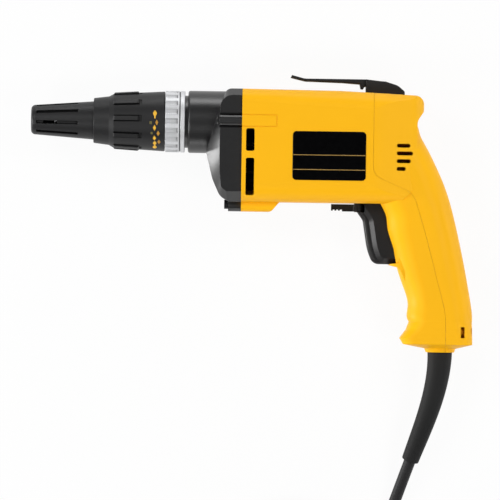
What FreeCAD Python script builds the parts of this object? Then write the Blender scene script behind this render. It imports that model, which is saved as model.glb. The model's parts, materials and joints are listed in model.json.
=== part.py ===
import FreeCAD, Part
import math
import os

# A corded drywall screwgun lying on its right side: nose to -X, the tool's top to +Y, up is +Z.
# Lengths are millimetres. X = 0, Y = 0 is on the motor axis. Pieces are drawn about the tool's
# mid-plane and lifted onto the table when they are written.

# Clearances
run_gap = 0.05
slide_gap = 0.35
seat_gap = 0.1
parting_gap = 0.12
overrun = 30.0
tiny = 0.001

# Places along the tool
joint_x = -46.5
spindle_rise = 16.0
gear_case_length = 36.8
nose_gap = 2.2
ring_length = 13.3
collar_length = 48.6
nose_length = 42.6

# Motor housing
wall = 2.8
housing_half_width = 34.0
housing_top = 38.7
housing_mid_top = 38.1
housing_rear_top = 35.4
housing_depth = 38.0
crown_radii = [9.0, 12.0, 13.0]
side_skim = 0.03
keel_radius = 13.0
housing_mid_x = 20.0
housing_rear_x = 77.0
rear_narrowing = 5.0
rear_taper_x = 46.0
rear_taper_radius = 45.0
rear_corner_radius = 12.0
rear_top_radius = 6.5
rear_lip_radius = 3.5
rear_lip_drop = 10.5
rear_waist_x = 72.6
rear_waist_drop = 17.0
rear_waist_radius = 7.0
rear_heel_radius = 20.0
cover_setback = 9.7
keel_boss_length = 20.5
keel_boss_slope = 5.5
keel_boss_half_width = 20.0
keel_boss_edge = 4.0

# Handle
handle_reach = 111.8
handle_drop = 132.5
handle_half_width = 18.0
handle_corner = 14.0
handle_cap_depth = 3.5
handle_cap_radius = 5.0
# Each row: how far down, front edge, rear edge, how far the width swells to the housing's, corner.
grip_shares = [
    (-0.128, 0.400, 0.640, 0.20, 0.80),
    (-0.068, 0.400, 0.668, 0.55, 0.92),
    (-0.030, 0.400, 0.690, 0.70, 1.00),
    (0.017, 0.400, 0.722, 0.77, 1.05),
    (0.060, 0.400, 0.748, 0.78, 1.08),
    (0.166, 0.403, 0.807, 0.77, 1.10),
    (0.272, 0.424, 0.853, 0.66, 1.10),
    (0.345, 0.466, 0.878, 0.50, 1.08),
    (0.415, 0.477, 0.899, 0.34, 1.05),
    (0.490, 0.501, 0.920, 0.20, 1.02),
    (0.589, 0.532, 0.946, 0.08, 1.00),
    (0.709, 0.579, 0.974, 0.00, 0.97),
    (0.815, 0.610, 0.996, 0.01, 0.93),
    (0.891, 0.618, 1.001, 0.03, 0.88),
]
foot_shares = [
    (0.891, 0.618, 1.001, 0.03, 0.88),
    (0.932, 0.600, 1.003, 0.05, 0.75),
    (0.976, 0.562, 1.004, 0.06, 0.60),
    (1.006, 0.584, 1.004, 0.04, 0.50),
]
cap_front_share = 0.713
cap_rear_share = 0.909
cap_width_share = 0.5
parting_shares = [(0.631, 0.234), (0.711, 0.449), (0.837, 0.845), (0.844, 1.3)]
parting_start_share = 0.14
parting_radii_shares = [0.6, 1.0, 4.3, 3.6, 0]
finger_lip_drop = 79.0
finger_lip_reach = 8.2
finger_lip_half_width = 15.0
finger_lip_radius = 0.9
finger_lip_rise = 4.6
finger_lip_fall = 12.0
finger_lip_slope = 2.6
finger_shoulder = 2.3
finger_shoulder_radius = 4.0
finger_lip_depth = 6.0
finger_lip_corner = 13.0

# Vents
vent_width = 5.7
vent_start = 2.9
vent_tops = [11.7, -8.3]
vent_ends = [-3.6, -33.6]
vent_corner = 1.2
rear_vent_x = 58.7
rear_vent_top = 1.4
rear_vent_pitch = 5.25
rear_vent_height = 2.6
rear_vent_length = 10.9
rear_vent_shares = [0.82, 1.0, 0.87, 0.56]
vent_reach = 13.0

# Label plate
label_x = -12.0
label_length = 49.8
label_height = 33.2
label_top = 10.3
label_thickness = 0.7
label_proud = 0.15
label_corner = 2.6

# Gear case
neck_radius = 21.2
neck_edge = 1.4
spigot_radius = 17.8
spigot_length = 13.7
gear_case_narrowing = 2.0
gear_case_shoulder = 24.0
# Each row: share of the case length ahead of the joint, share of the housing depth, corner radius.
gear_case_front_shares = [(0.655, 0.134), (0.537, 0.602), (0.400, 0.900), (0.235, 1.0)]
gear_case_front_radii = [3.0, 30.0, 9.0, 6.0]
gear_case_top_shares = [(0.290, 1.0), (0.416, 0.672)]
gear_case_top_radii = [5.0, 5.0]
side_panel_front_shares = [(0.408, 0.050), (0.402, 0.480), (0.378, 0.745), (0.275, 0.820)]
side_panel_front_radii = [60.0, 60.0, 4.0, 3.0]
side_panel_top_shares = [(0.258, 0.884), (0.400, 0.762)]
side_panel_top_radii = [8.0, 8.0]
side_boss_rise = 17.0
side_boss_radius = 4.2
side_boss_length = 15.4
side_boss_groove = 0.9
side_boss_bore = 6.2
side_boss_depth = 0.3
panel_length = 23.8
panel_line = 0.5
panel_line_depth = 0.4
keel_boss_drop = 39.9
keel_boss_radius = 4.7
keel_screw_length = 8.8
screw_radius = 1.9
screw_head_radius = 3.1
screw_head_length = 2.7
screw_bite = 14.0
cross_width_share = 0.25
cross_length_share = 0.7
cross_depth_share = 0.5
plate_inset = 7.0
plate_thickness = 5.0
plate_corner = 10.0
plate_crown = 13.0

# Gears
pinion_teeth = 8
gear_teeth = 40
gear_width = 8.0
gear_shift_share = 0.35
gear_addendum_share = 0.85
gear_dedendum_share = 1.2
gear_backlash = 0.12
pressure_angle = math.radians(20)
gear_setback = 8.5
gear_journal_radius = 5.0
gear_journal_length = 6.4
gear_pocket_gap = 1.6

# Spindle and clutch
spindle_radius = 6.0
pilot_radius = 4.0
pilot_length = 10.3
dog_height = 2.0
dog_inner_radius = 9.2
dog_outer_radius = 12.4
dog_count = 3
dog_angle = 40.0
push_travel = 3.0
flange_thickness = 4.0
washer_thickness = 1.5
washer_radius = 11.0
bush_radius = 9.0
spindle_front = 42.3
spring_wire = 1.3
spring_turns = 3
spring_radius = 6.4
hex_flats = 6.35
hex_gap = 0.1
shank_length = 22.0
holder_radius = 5.4
holder_recess = 16.0
holder_socket_depth = 11.0
holder_lip = 0.6
magnet_radius = 2.8
magnet_length = 5.0
clip_setback = 6.0
clip_wire = 0.8
ball_radius = 1.6

# Nosepiece
nose_tip_radius = 9.9
nose_tip_edge = 2.9
nose_rear_radius = 13.0
nose_tail = 35.0
nose_bore_radius = 6.6
nose_lip = 7.5
nose_relief_radius = 8.4
groove_count = 9
groove_first = 99.0
groove_width = 2.3
groove_sink = 1.4
groove_start = 3.6
groove_length = 28.4
window_start = 8.4
window_length = 9.6
window_count = 3
collar_front_radius = 15.3
collar_cone_radius = 16.6
collar_cone_length = 10.5
collar_step_length = 3.4
collar_band_radius = 18.5
collar_rear_radius = 20.4
collar_edge = 0.6
rib_count = 10
rib_first = 85.0
rib_start = 11.6
rib_length = 21.3
rib_width = 2.8
rib_height = 0.9
rib_ramp = 2.7
rib_groove = 0.8
rib_groove_depth = 0.6
ring_radius = 21.0
ring_groove_depth = 0.7
ring_groove_width = 0.9
ring_groove_back = 2.9
scallop_count = 20
scallop_radius = 2.7
scallop_depth = 1.0
scallop_back = 4.8
ring_web = 1.4
journal_length = 19.5
journal_wall = 2.3
seal_wire = 1.8
seal_setback = 6.5

# Motor
shaft_radius = 4.0
shaft_rear_radius = 3.5
front_bearing_radius = 11.0
front_bearing_width = 7.0
rear_bearing_radius = 9.5
rear_bearing_width = 6.0
race_groove_share = 0.125
race_wall_share = 0.25
fan_gap = 1.9
fan_width = 10.6
fan_room = 1.6
fan_disc = 1.6
fan_hub_radius = 9.0
fan_blades = 11
blade_thickness = 1.6
core_start = 26.5
core_length = 34.0
core_radius_share = 0.547
core_slots = 12
slot_depth_share = 0.353
slot_width = 2.2
air_gap = 0.7
pole_gap_angle = 70.0
pole_depth_share = 0.225
winding_radius_share = 0.918
winding_length = 9.0
winding_edge = 3.0
field_winding_share = 0.836
field_winding_length = 8.5
field_winding_edge = 2.1
field_winding_angle = 104.0
commutator_radius_share = 0.3537
commutator_length = 10.0
commutator_bars = 24
commutator_slot = 0.5
commutator_slot_depth = 1.0
brush_width = 7.0
brush_depth = 6.0
brush_length_share = 0.3537
brush_box_wall = 1.2
brush_box_start = 1.6
brush_spring_wire = 0.86
brush_spring_radius = 1.7
baffle_thickness = 1.8
baffle_ring = 11.1
bridge_thickness = 4.2
bridge_half_height = 12.0

# Trigger, reversing lever and switch
trigger_half_width = 10.5
trigger_pad_half_width = 7.4
trigger_travel = 6.0
trigger_top = 38.4
trigger_neck = 44.0
trigger_foot = 79.2
trigger_seat = 4.2
trigger_horn_share = 0.2916
trigger_front_share = 0.3274
trigger_belly_share = 0.3542
trigger_toe_share = 0.3900
trigger_step_share = 0.3377
trigger_front_drop = 49.6
trigger_belly_drop = 69.0
trigger_horn_radius = 0.9
trigger_front_radius = 6.5
trigger_belly_radius = 40.0
trigger_toe_radius = 6.2
trigger_edge = 2.8
trigger_shoulder = 4.2
trigger_bevel = 3.0
trigger_body_lift = 1.0
stem_radius = 3.0
stem_drop = 58.0
stem_reach = 8.0
switch_depth_share = 0.2236
switch_half_width = 11.0
switch_top = 46.0
switch_foot = 77.0
switch_bore_depth = 17.0
cradle_width = 10.0
lever_share = 0.2952
lever_length = 18.1
lever_step_length = 10.6
lever_hub_radius = 4.4
lever_half_width = 3.2
lever_drop = 0.7
lever_thickness = 3.7
lever_hub_thickness = 4.9
lever_stud_radius = 2.4
lever_head_radius = 4.4
lever_head_thickness = 3.0
lever_ridges = 3
lever_ridge_pitch = 2.4
lever_ridge_width = 1.2
lever_ridge_height = 0.7

# Belt hook
hook_base_lead = 5.4
hook_base_length = 26.5
hook_base_half_width = 12.0
hook_half_width = 9.0
hook_rise = 8.4
hook_thickness = 1.8
hook_root_thickness = 3.4
hook_tip_reach = 50.4
hook_tip_rise = 2.3
hook_knee_reach = 41.7
hook_root_reach = 15.4
hook_tab_reach = 4.2
hook_tab_width = 3.4
hook_notch_drop = 4.9
hook_bend_radius = 12.0
hook_edge_radius = 0.7
hook_tip_lean = 0.9
hook_back_shares = [(0.50, 0.17), (0.83, 0.36), (1.0, 0.90)]
hook_back_radii = [30.0, 6.0, 3.0]
hook_screw_back = 10.0
hook_screw_radius = 2.2
hook_screw_head = 4.2
hook_screw_sink = 3.2
hook_screw_bite = 6.0
hook_boss_radius = 4.6
hook_socket_floor = 0.7
hook_socket_radius = 2.1

# Cover screws: drop below the motor axis and side step of each post
cover_post_radius = 3.8
web_thickness = 3.0
rear_web_setback = 11.2
rear_web_low = -20.0
front_web_length = 11.5
cover_posts = [(-22.0, 0.0), (92.5, 0.0), (124.9, 9.6), (124.9, -9.6)]
cover_head_setback = 5.2
cover_shank = 17.0
notch_share = 0.9311
notch_width = 2.6
notch_height = 7.4
notch_reach = 14.0
notch_line = 0.5
notch_line_depth = 0.5

# Cord relief and clamp
relief_share = 0.8095
relief_radius = 8.4
relief_end_radius = 5.9
relief_flange_radius = 10.4
relief_flange_thickness = 2.6
relief_neck_radius = 4.5
relief_neck_top = 104.0
relief_boss_top_radius = 12.2
relief_boss_radius = 9.7
relief_boss_drop = 138.7
relief_stations = 8
relief_pull_share = 0.34
clamp_drop = 111.5
clamp_height = 8.0
clamp_half_width = 12.6
clamp_thickness = 3.0
clamp_screw_step = 9.2
clamp_post_radius = 3.3

# Cord: the free run's points are heights above the table
cord_radius = 4.0
bend_share = 0.45
cord_route = [
    (71.8, -212.5, 20.0),
    (64.6, -233.0, 12.2),
    (57.4, -254.0, 6.8),
    (52.6, -277.0, 5.6),
    (52.6, -299.0, 5.6),
]
coil_turns_per_layer = 3.25
coil_pitch = 8.9
coil_rise = 8.8
coil_tuck = 1.9
coil_outer_radius = 61.0
coil_leave_share = 0.25
climb_share = 0.5
nudge_share = 0.0005
tie_thickness = 1.1
tie_width = 7.0
tie_gap = 0.5
tie_angle = 128.0
plug_length = 34.0
plug_radius = 13.4
plug_neck_radius = 6.2
plug_relief_length = 20.0
plug_edge = 2.0
plug_tail_radius = 5.0
plug_shoulder = 11.3
blade_length = 17.5
blade_width = 6.35
blade_wide = 7.9
blade_thick = 1.5
blade_step = 6.35
blade_root = 4.0

# Places that follow from the sizes above
neck_x = joint_x - gear_case_length
ring_rear_x = neck_x - nose_gap
ring_x = ring_rear_x - ring_length
collar_rear_x = ring_x - slide_gap
collar_x = collar_rear_x - collar_length
nose_x = collar_x - nose_length
spigot_x = neck_x - spigot_length
plate_x = joint_x - plate_thickness
gear_rear_x = joint_x - gear_setback
gear_x = gear_rear_x - gear_width
gear_dog_x = gear_x - dog_height
spindle_dog_x = gear_dog_x - push_travel - slide_gap
flange_rear_x = spindle_dog_x - dog_height
flange_x = flange_rear_x - flange_thickness
washer_x = flange_x - washer_thickness
cavity_x = washer_x - seat_gap
spindle_x = neck_x - spindle_front
holder_x = nose_x + holder_recess
shaft_front_x = gear_x - run_gap
fan_x = joint_x + fan_gap
core_x = joint_x + core_start
core_end_x = core_x + core_length
commutator_x = core_end_x + winding_length + seat_gap
commutator_end_x = commutator_x + commutator_length
cover_x = commutator_end_x + cover_setback
rear_bearing_x = cover_x - rear_bearing_width
rear_web_x = cover_x + rear_web_setback
rear_half_width = housing_half_width - rear_narrowing
gear_case_half_width = housing_half_width - gear_case_narrowing
field_radius = min(housing_half_width, housing_mid_top, housing_depth) - wall - seat_gap
fan_radius = field_radius - fan_room
baffle_radius = field_radius - baffle_ring
core_radius = field_radius * core_radius_share
slot_depth = core_radius * slot_depth_share
winding_radius = core_radius * winding_radius_share
pole_depth = field_radius * pole_depth_share
field_winding_radius = field_radius * field_winding_share
commutator_radius = field_radius * commutator_radius_share
brush_length = field_radius * brush_length_share
trigger_horn_x = handle_reach * trigger_horn_share
trigger_front_x = handle_reach * trigger_front_share
trigger_belly_x = handle_reach * trigger_belly_share
trigger_toe_x = handle_reach * trigger_toe_share
trigger_step_x = handle_reach * trigger_step_share
switch_depth = handle_reach * switch_depth_share
lever_x = handle_reach * lever_share
lever_tip_x = lever_x - lever_length
lever_step_x = lever_x - lever_step_length
notch_x = handle_reach * notch_share
relief_x = handle_reach * relief_share
hook_base_x = cover_x - hook_base_lead
hook_tab_x = hook_base_x - hook_tab_reach
hook_root_x = hook_base_x - hook_root_reach
hook_knee_x = hook_base_x - hook_knee_reach
hook_tip_x = hook_base_x - hook_tip_reach
side_boss_z = housing_half_width - side_boss_depth - side_boss_radius
gear_module = 2 * spindle_rise / (pinion_teeth + gear_teeth)
rest_height = housing_half_width


def V(x, y, z):
    return FreeCAD.Vector(x, y, z)


def on_xy(z):
    return lambda p: V(p.x, p.y, z)


def on_yz(x):
    return lambda p: V(x, p.x, p.y)


def on_xz(y):
    return lambda p: V(p.x, y, p.y)


def rounded(corners, place):
    """Closed wire through corners (u, v, radius), each corner rounded by a tangent arc."""
    count = len(corners)
    bends = []
    for i, (u, v, radius) in enumerate(corners):
        corner = V(u, v, 0)
        before = V(*corners[i - 1][:2], 0) - corner
        after = V(*corners[(i + 1) % count][:2], 0) - corner
        before.normalize()
        after.normalize()
        if radius == 0:
            bends.append((corner, corner, corner))
            continue
        half = before.getAngle(after) / 2
        reach = radius / math.tan(half)
        inward = before + after
        inward.normalize()
        middle = corner + inward * (radius / math.sin(half) - radius)
        bends.append((corner + before * reach, middle, corner + after * reach))
    edges = []
    for i, (start, middle, end) in enumerate(bends):
        if start.distanceToPoint(end) > tiny:
            edges.append(Part.Arc(place(start), place(middle), place(end)).toShape())
        follow = bends[(i + 1) % count][0]
        if end.distanceToPoint(follow) > tiny:
            edges.append(Part.makeLine(place(end), place(follow)))
    return Part.Wire(edges)


def slab(corners, low, high):
    """An outline in X and Y carried from height low to height high."""
    return Part.Face(rounded(corners, on_xy(low))).extrude(V(0, 0, high - low))


def bar(corners, start, end):
    """An outline in Y and Z carried along X."""
    return Part.Face(rounded(corners, on_yz(start))).extrude(V(end - start, 0, 0))


def turned(profile, rise):
    """A profile of (x, radius, corner radius) turned about the line at height rise."""
    corners = [(x, rise + r, c) for x, r, c in profile]
    face = Part.Face(rounded(corners, on_xy(0)))
    return face.revolve(V(0, rise, 0), V(1, 0, 0), 360)


def rod(start, end, radius, y, z=0):
    return Part.makeCylinder(radius, end - start, V(start, y, z), V(1, 0, 0))


def tube(start, end, outer, inner, y, z=0):
    return rod(start, end, outer, y, z).cut(rod(start - overrun, end + overrun, inner, y, z))


def stud(low, high, radius, x, z=0):
    return Part.makeCylinder(radius, high - low, V(x, low, z), V(0, 1, 0))


def block(x0, x1, y0, y1, z0, z1):
    return Part.makeBox(x1 - x0, y1 - y0, z1 - z0, V(x0, y0, z0))


def hexagon(start, end, flats, y):
    """A hexagonal bar along X with two flats facing up and down the Y axis."""
    reach = flats / math.sqrt(3)
    corners = []
    for i in range(6):
        angle = math.radians(60 * i + 30)
        corners.append((y + reach * math.sin(angle), reach * math.cos(angle), 0))
    return bar(corners, start, end)


def spun(shape, angle, rise):
    return shape.rotated(V(0, rise, 0), V(1, 0, 0), angle)


def repeated(shape, count, rise, first=0.0):
    """Copies evenly about the line along X at height rise."""
    copies = [spun(shape, first + 360.0 * i / count, rise) for i in range(count)]
    return Part.makeCompound(copies)


def mirrored(shape):
    return shape.mirror(V(0, 0, 0), V(0, 0, 1))


def softened(shape, radius, chosen):
    edges = [e for e in shape.Edges if chosen(e.valueAt((e.FirstParameter + e.LastParameter) / 2))]
    return shape.makeFillet(radius, edges)


def body_section(top, depth, half_width, crown, keel):
    return [
        (top, half_width, crown),
        (top, -half_width, crown),
        (-depth, -half_width, keel),
        (-depth, half_width, keel),
    ]


def grip_x(drop, column):
    """The handle's front (1) or rear (2) edge at a drop below the motor axis."""
    at = drop / handle_drop
    rows = grip_shares + foot_shares[1:]
    for low, high in zip(rows, rows[1:]):
        if low[0] <= at <= high[0]:
            part = (at - low[0]) / (high[0] - low[0])
            return handle_reach * (low[column] + part * (high[column] - low[column]))
    return handle_reach * rows[-1][column]


def grip_section(row, inset):
    down, front, rear, swell, corner = row
    half = handle_half_width + (housing_half_width - handle_half_width) * swell - inset
    radius = max(handle_corner * corner - inset, inset / 2)
    x0 = handle_reach * front + inset
    x1 = handle_reach * rear - inset
    corners = [(x0, half, radius), (x1, half, radius), (x1, -half, radius), (x0, -half, radius)]
    return rounded(corners, on_xz(-handle_drop * down))


def barrel(inset):
    """The barrel that houses the motor, drawn in by inset all round."""
    half = housing_half_width - inset
    stations = [
        (joint_x - (overrun if inset else 0), housing_top),
        (housing_mid_x, housing_mid_top),
        (housing_rear_x + overrun, housing_rear_top),
    ]
    sections = []
    for (x, top), crown in zip(stations, crown_radii):
        section = body_section(
            top - inset,
            housing_depth - inset,
            half + side_skim,
            crown - inset,
            keel_radius - inset,
        )
        sections.append(rounded(section, on_yz(x)))
    long = Part.makeLoft(sections, True, True)
    front = joint_x - overrun
    side = [
        (front, -housing_depth - overrun, 0),
        (front, housing_top + overrun, 0),
        (housing_mid_x, housing_top + overrun, 0),
        (housing_mid_x, housing_mid_top - inset, 0),
        (housing_rear_x - inset, housing_rear_top + tiny - inset, rear_top_radius - inset / 2),
        (housing_rear_x - inset, housing_rear_top - rear_lip_drop, rear_lip_radius),
        (rear_waist_x - inset, housing_rear_top - rear_waist_drop, rear_waist_radius),
        (rear_waist_x - inset, -housing_depth + inset, rear_heel_radius),
        (housing_mid_x, -housing_depth + inset, 0),
        (housing_mid_x, -housing_depth - overrun, 0),
    ]
    plan = [
        (front, half, 0),
        (rear_taper_x, half, rear_taper_radius),
        (housing_rear_x - inset, rear_half_width - inset, rear_corner_radius - inset),
        (housing_rear_x - inset, inset - rear_half_width, rear_corner_radius - inset),
        (rear_taper_x, -half, rear_taper_radius),
        (front, -half, 0),
    ]
    wide = slab(side, -housing_half_width - overrun, housing_half_width + overrun)
    low = -housing_depth - overrun
    tall = Part.Face(rounded(plan, on_xz(low))).extrude(V(0, housing_top + overrun - low, 0))
    return long.common(wide).common(tall)


def handle(inset):
    """The pistol handle with its flared foot, drawn in by inset all round."""
    grip = Part.makeLoft([grip_section(row, inset) for row in grip_shares], True, False)
    foot = Part.makeLoft([grip_section(row, inset) for row in foot_shares], True, True)
    return grip.fuse(foot)


def handle_cap():
    """The shallow bottom of the foot and the round boss that the cord relief passes."""
    half = handle_half_width * cap_width_share
    low = -handle_drop - handle_cap_depth
    sections = [
        grip_section(foot_shares[-1], 0),
        rounded(
            [
                (handle_reach * cap_front_share, half, handle_cap_radius),
                (handle_reach * cap_rear_share, half, handle_cap_radius),
                (handle_reach * cap_rear_share, -half, handle_cap_radius),
                (handle_reach * cap_front_share, -half, handle_cap_radius),
            ],
            on_xz(low),
        ),
    ]
    cap = Part.makeLoft(sections, True, True)
    boss = Part.makeCone(
        relief_boss_top_radius,
        relief_boss_radius,
        relief_boss_drop - handle_drop,
        V(relief_x, -handle_drop, 0),
        V(0, -1, 0),
    )
    return cap.fuse(boss)


def finger_lip():
    """The small beak of the handle below the trigger."""
    edge = grip_x(finger_lip_drop, 1)
    tip = edge - finger_lip_reach
    corners = [
        (edge + finger_lip_depth, -finger_lip_drop + finger_lip_rise, 0),
        (edge, -finger_lip_drop + finger_lip_rise, finger_lip_radius),
        (tip, -finger_lip_drop, finger_lip_radius),
        (edge + finger_shoulder, -finger_lip_drop - finger_lip_slope, finger_shoulder_radius),
        (edge + finger_lip_depth, -finger_lip_drop - finger_lip_fall, 0),
    ]
    half = finger_lip_half_width
    lip = slab(corners, -half, half)
    plan = [
        (tip, -half, finger_lip_corner),
        (edge + finger_lip_depth, -half, 0),
        (edge + finger_lip_depth, half, 0),
        (tip, half, finger_lip_corner),
    ]
    low = -finger_lip_drop - finger_lip_fall
    around = Part.Face(rounded(plan, on_xz(low))).extrude(V(0, finger_lip_rise + finger_lip_fall, 0))
    return lip.common(around)


def parting_zone(step):
    """Everything behind the line where the rear cover meets the motor housing."""
    corners = [
        (cover_x + step, housing_top + overrun, 0),
        (cover_x + step, -handle_drop * parting_start_share, handle_corner * parting_radii_shares[0]),
    ]
    for (x, y), radius in zip(parting_shares, parting_radii_shares[1:]):
        corners.append((handle_reach * x + step, -handle_drop * y, handle_corner * radius))
    far = handle_reach + overrun
    corners.append((far, -handle_drop * parting_shares[-1][1], 0))
    corners.append((far, housing_top + overrun, 0))
    reach = housing_half_width + overrun
    return slab(corners, -reach, reach)


def keel_boss():
    """The raised boss under the front of the housing that takes the lower case screw."""
    drop = keel_boss_drop + keel_boss_radius
    corners = [
        (joint_x, -keel_boss_drop + keel_boss_radius, 0),
        (joint_x, -drop, 0),
        (joint_x + keel_boss_length, -drop, keel_boss_radius),
        (joint_x + keel_boss_length + keel_boss_slope, -housing_depth, keel_boss_radius),
        (joint_x + keel_boss_length + 2 * keel_boss_slope, -keel_boss_drop + keel_boss_radius, 0),
    ]
    boss = slab(corners, -keel_boss_half_width, keel_boss_half_width)
    section = [
        (-drop, -keel_boss_half_width, keel_boss_edge),
        (-drop, keel_boss_half_width, keel_boss_edge),
        (0, keel_boss_half_width, 0),
        (0, -keel_boss_half_width, 0),
    ]
    return boss.common(bar(section, joint_x, joint_x + keel_boss_length + 2 * keel_boss_slope))


def case_screw_axes():
    return [
        (side_boss_rise, side_boss_z, joint_x - side_boss_length + side_boss_bore),
        (side_boss_rise, -side_boss_z, joint_x - side_boss_length + side_boss_bore),
        (-keel_boss_drop, 0, joint_x - keel_screw_length),
    ]


def screw(seat, shank_end, y, z):
    """A pan-head screw along X: the head lies in front of seat, the shank runs to shank_end."""
    head = rod(seat - screw_head_length, seat, screw_head_radius, y, z)
    shank = rod(seat, shank_end, screw_radius, y, z)
    across = screw_head_radius * cross_width_share
    along = screw_head_radius * cross_length_share
    depth = screw_head_length * cross_depth_share
    front = seat - screw_head_length
    slot = block(front - overrun, front + depth, y - across, y + across, z - along, z + along)
    cross = block(front - overrun, front + depth, y - along, y + along, z - across, z + across)
    return head.fuse(shank).cut(slot).cut(cross)


def vent_cutters():
    """The long vents beside the fan and the short ones at the back, cut through both side walls."""
    x = joint_x + vent_start
    spans = [(x, x + vent_width, low, top) for low, top in zip(vent_ends, vent_tops)]
    half = rear_vent_height / 2
    for i, share in enumerate(rear_vent_shares):
        y = rear_vent_top - i * rear_vent_pitch
        spans.append((rear_vent_x, rear_vent_x + rear_vent_length * share, y - half, y + half))
    cutters = []
    for x0, x1, low, top in spans:
        corners = [
            (x0, low, vent_corner),
            (x1, low, vent_corner),
            (x1, top, vent_corner),
            (x0, top, vent_corner),
        ]
        cutter = slab(corners, vent_reach, housing_half_width + overrun)
        cutters += [cutter, mirrored(cutter)]
    return cutters


def make_shell():
    """The hollow of the two yellow mouldings before they are parted, with the screw posts."""
    outer = barrel(0).fuse([handle(0), handle_cap(), finger_lip(), keel_boss()])
    for sign in (1, -1):
        z = sign * side_boss_z
        outer = outer.fuse(rod(joint_x, joint_x + panel_length, side_boss_radius, side_boss_rise, z))
        outer = outer.cut(panel_outline(sign))
    outer = outer.removeSplitter()
    inner = barrel(wall).fuse(handle(wall))
    shell = outer.cut(inner)
    inside = barrel(wall / 2).fuse(handle(wall / 2))
    posts = []
    for drop, step in cover_posts:
        posts.append(rod(cover_x - cover_shank, handle_reach, cover_post_radius, -drop, step))
    top_drop = cover_posts[0][0]
    web = web_thickness / 2
    posts.append(block(cover_x - cover_shank, housing_rear_x, -top_drop, housing_top, -web, web))
    posts.append(block(rear_web_x, handle_reach, rear_web_low, -top_drop, -web, web))
    fan_low = -fan_radius - slide_gap
    posts.append(block(joint_x, joint_x + front_web_length, -housing_depth, fan_low, -web, web))
    for sign in (1, -1):
        z = sign * side_boss_z
        posts.append(rod(joint_x, joint_x + panel_length, side_boss_radius, side_boss_rise, z))
    hook_x = hook_base_x + hook_screw_back
    hook_low = housing_rear_top - wall - hook_screw_bite
    posts.append(stud(hook_low, housing_rear_top, hook_boss_radius, hook_x))
    edge = grip_x(stem_drop, 1)
    for sign in (1, -1):
        near = sign * (switch_half_width + seat_gap)
        far = sign * housing_half_width
        posts.append(
            block(
                edge + trigger_seat + trigger_travel + wall,
                edge + trigger_seat + trigger_travel + wall + cradle_width,
                -switch_foot,
                -switch_top,
                min(near, far),
                max(near, far),
            )
        )
    bridge = bar(
        [
            (bridge_half_height, housing_half_width, 0),
            (bridge_half_height, -housing_half_width, 0),
            (-bridge_half_height, -housing_half_width, 0),
            (-bridge_half_height, housing_half_width, 0),
        ],
        cover_x - bridge_thickness,
        cover_x,
    )
    seat = rod(rear_bearing_x - wall, cover_x, rear_bearing_radius + wall, 0)
    fill = posts[0].fuse(posts[1:] + [bridge, seat]).common(inside)
    return shell.fuse(fill)


def panel_outline(sign):
    """The fine line cut round the panel that follows each side boss."""
    low = housing_half_width - panel_line_depth
    rings = []
    for step in (0, panel_line):
        reach = side_boss_radius - step
        end = joint_x + panel_length - step
        corners = [
            (joint_x - overrun, side_boss_rise - reach, 0),
            (end, side_boss_rise - reach, panel_line),
            (end, side_boss_rise + reach, panel_line),
            (joint_x - overrun, side_boss_rise + reach, 0),
        ]
        rings.append(slab(corners, low, housing_half_width + overrun))
    line = rings[0].cut(rings[1])
    return line if sign > 0 else mirrored(line)


def cut_housing(shell):
    """The trigger slot, vents, screw holes and bearing seat."""
    cutters = vent_cutters()
    half = trigger_half_width + slide_gap
    top = -trigger_top + slide_gap
    low = -trigger_foot - slide_gap
    reach = trigger_seat + trigger_travel + slide_gap
    cutters.append(
        slab(
            [
                (trigger_horn_x, low, 0),
                (grip_x(trigger_foot, 1) + reach, low, 0),
                (grip_x(trigger_top, 1) + reach, top, 0),
                (trigger_horn_x, top, 0),
            ],
            -half,
            half,
        )
    )
    for y, z, seat in case_screw_axes():
        cutters.append(rod(joint_x - overrun, joint_x + screw_bite, screw_radius + run_gap, y, z))
    for drop, step in cover_posts:
        parted = parting_at(drop)
        head = parted + cover_head_setback
        cutters.append(rod(head, head + handle_reach, screw_head_radius + slide_gap, -drop, step))
        cutters.append(rod(head - cover_shank, head + tiny, screw_radius + run_gap, -drop, step))
    hook_x = hook_base_x + hook_screw_back
    hook_low = housing_rear_top - wall - hook_screw_bite
    cutters.append(stud(hook_low, housing_top, hook_screw_radius + run_gap, hook_x))
    cutters.append(rod(rear_bearing_x, cover_x + wall, rear_bearing_radius + run_gap, 0))
    cutters.append(rod(rear_bearing_x - overrun, cover_x, shaft_radius + slide_gap, 0))
    pivot = lever_stud_radius + slide_gap
    cutters.append(stud(-housing_depth - overrun, -housing_depth + overrun, pivot, lever_x))
    sleeve = relief_radius + seat_gap
    cutters.append(stud(-relief_boss_drop - overrun, -handle_drop + wall, sleeve, relief_x))
    flange = relief_flange_radius + seat_gap
    cutters.append(stud(-handle_drop, -handle_drop + relief_flange_thickness + wall, flange, relief_x))
    label = label_corners()
    label_low = housing_half_width + label_proud - label_thickness
    cutters.append(slab(label, label_low, housing_half_width + overrun))
    notch_drop = cover_posts[-1][0]
    far_x = handle_reach + overrun
    for sign in (1, -1):
        near = sign * notch_reach
        far = sign * housing_half_width
        cutters.append(
            block(
                notch_x,
                notch_x + notch_width,
                -notch_drop - notch_height / 2,
                -notch_drop + notch_height / 2,
                min(near, far),
                max(near, far),
            )
        )
        top = -notch_drop + notch_height / 2
        side = sign * (handle_half_width - notch_line_depth)
        cutters.append(
            block(notch_x, far_x, top - notch_line, top, min(side, far), max(side, far))
        )
    for cutter in cutters:
        shell = shell.cut(cutter)
    return shell


def clamp_posts():
    """The two posts inside the handle that carry the cord clamp."""
    start = grip_x(clamp_drop, 1) + wall / 2
    end = relief_x + relief_neck_radius
    hole = end + clamp_thickness + seat_gap - cover_shank
    posts = []
    for sign in (1, -1):
        z = sign * clamp_screw_step
        post = rod(start, end, clamp_post_radius, -clamp_drop, z)
        posts.append(post.cut(rod(hole, end + overrun, screw_radius + run_gap, -clamp_drop, z)))
    return posts


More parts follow.
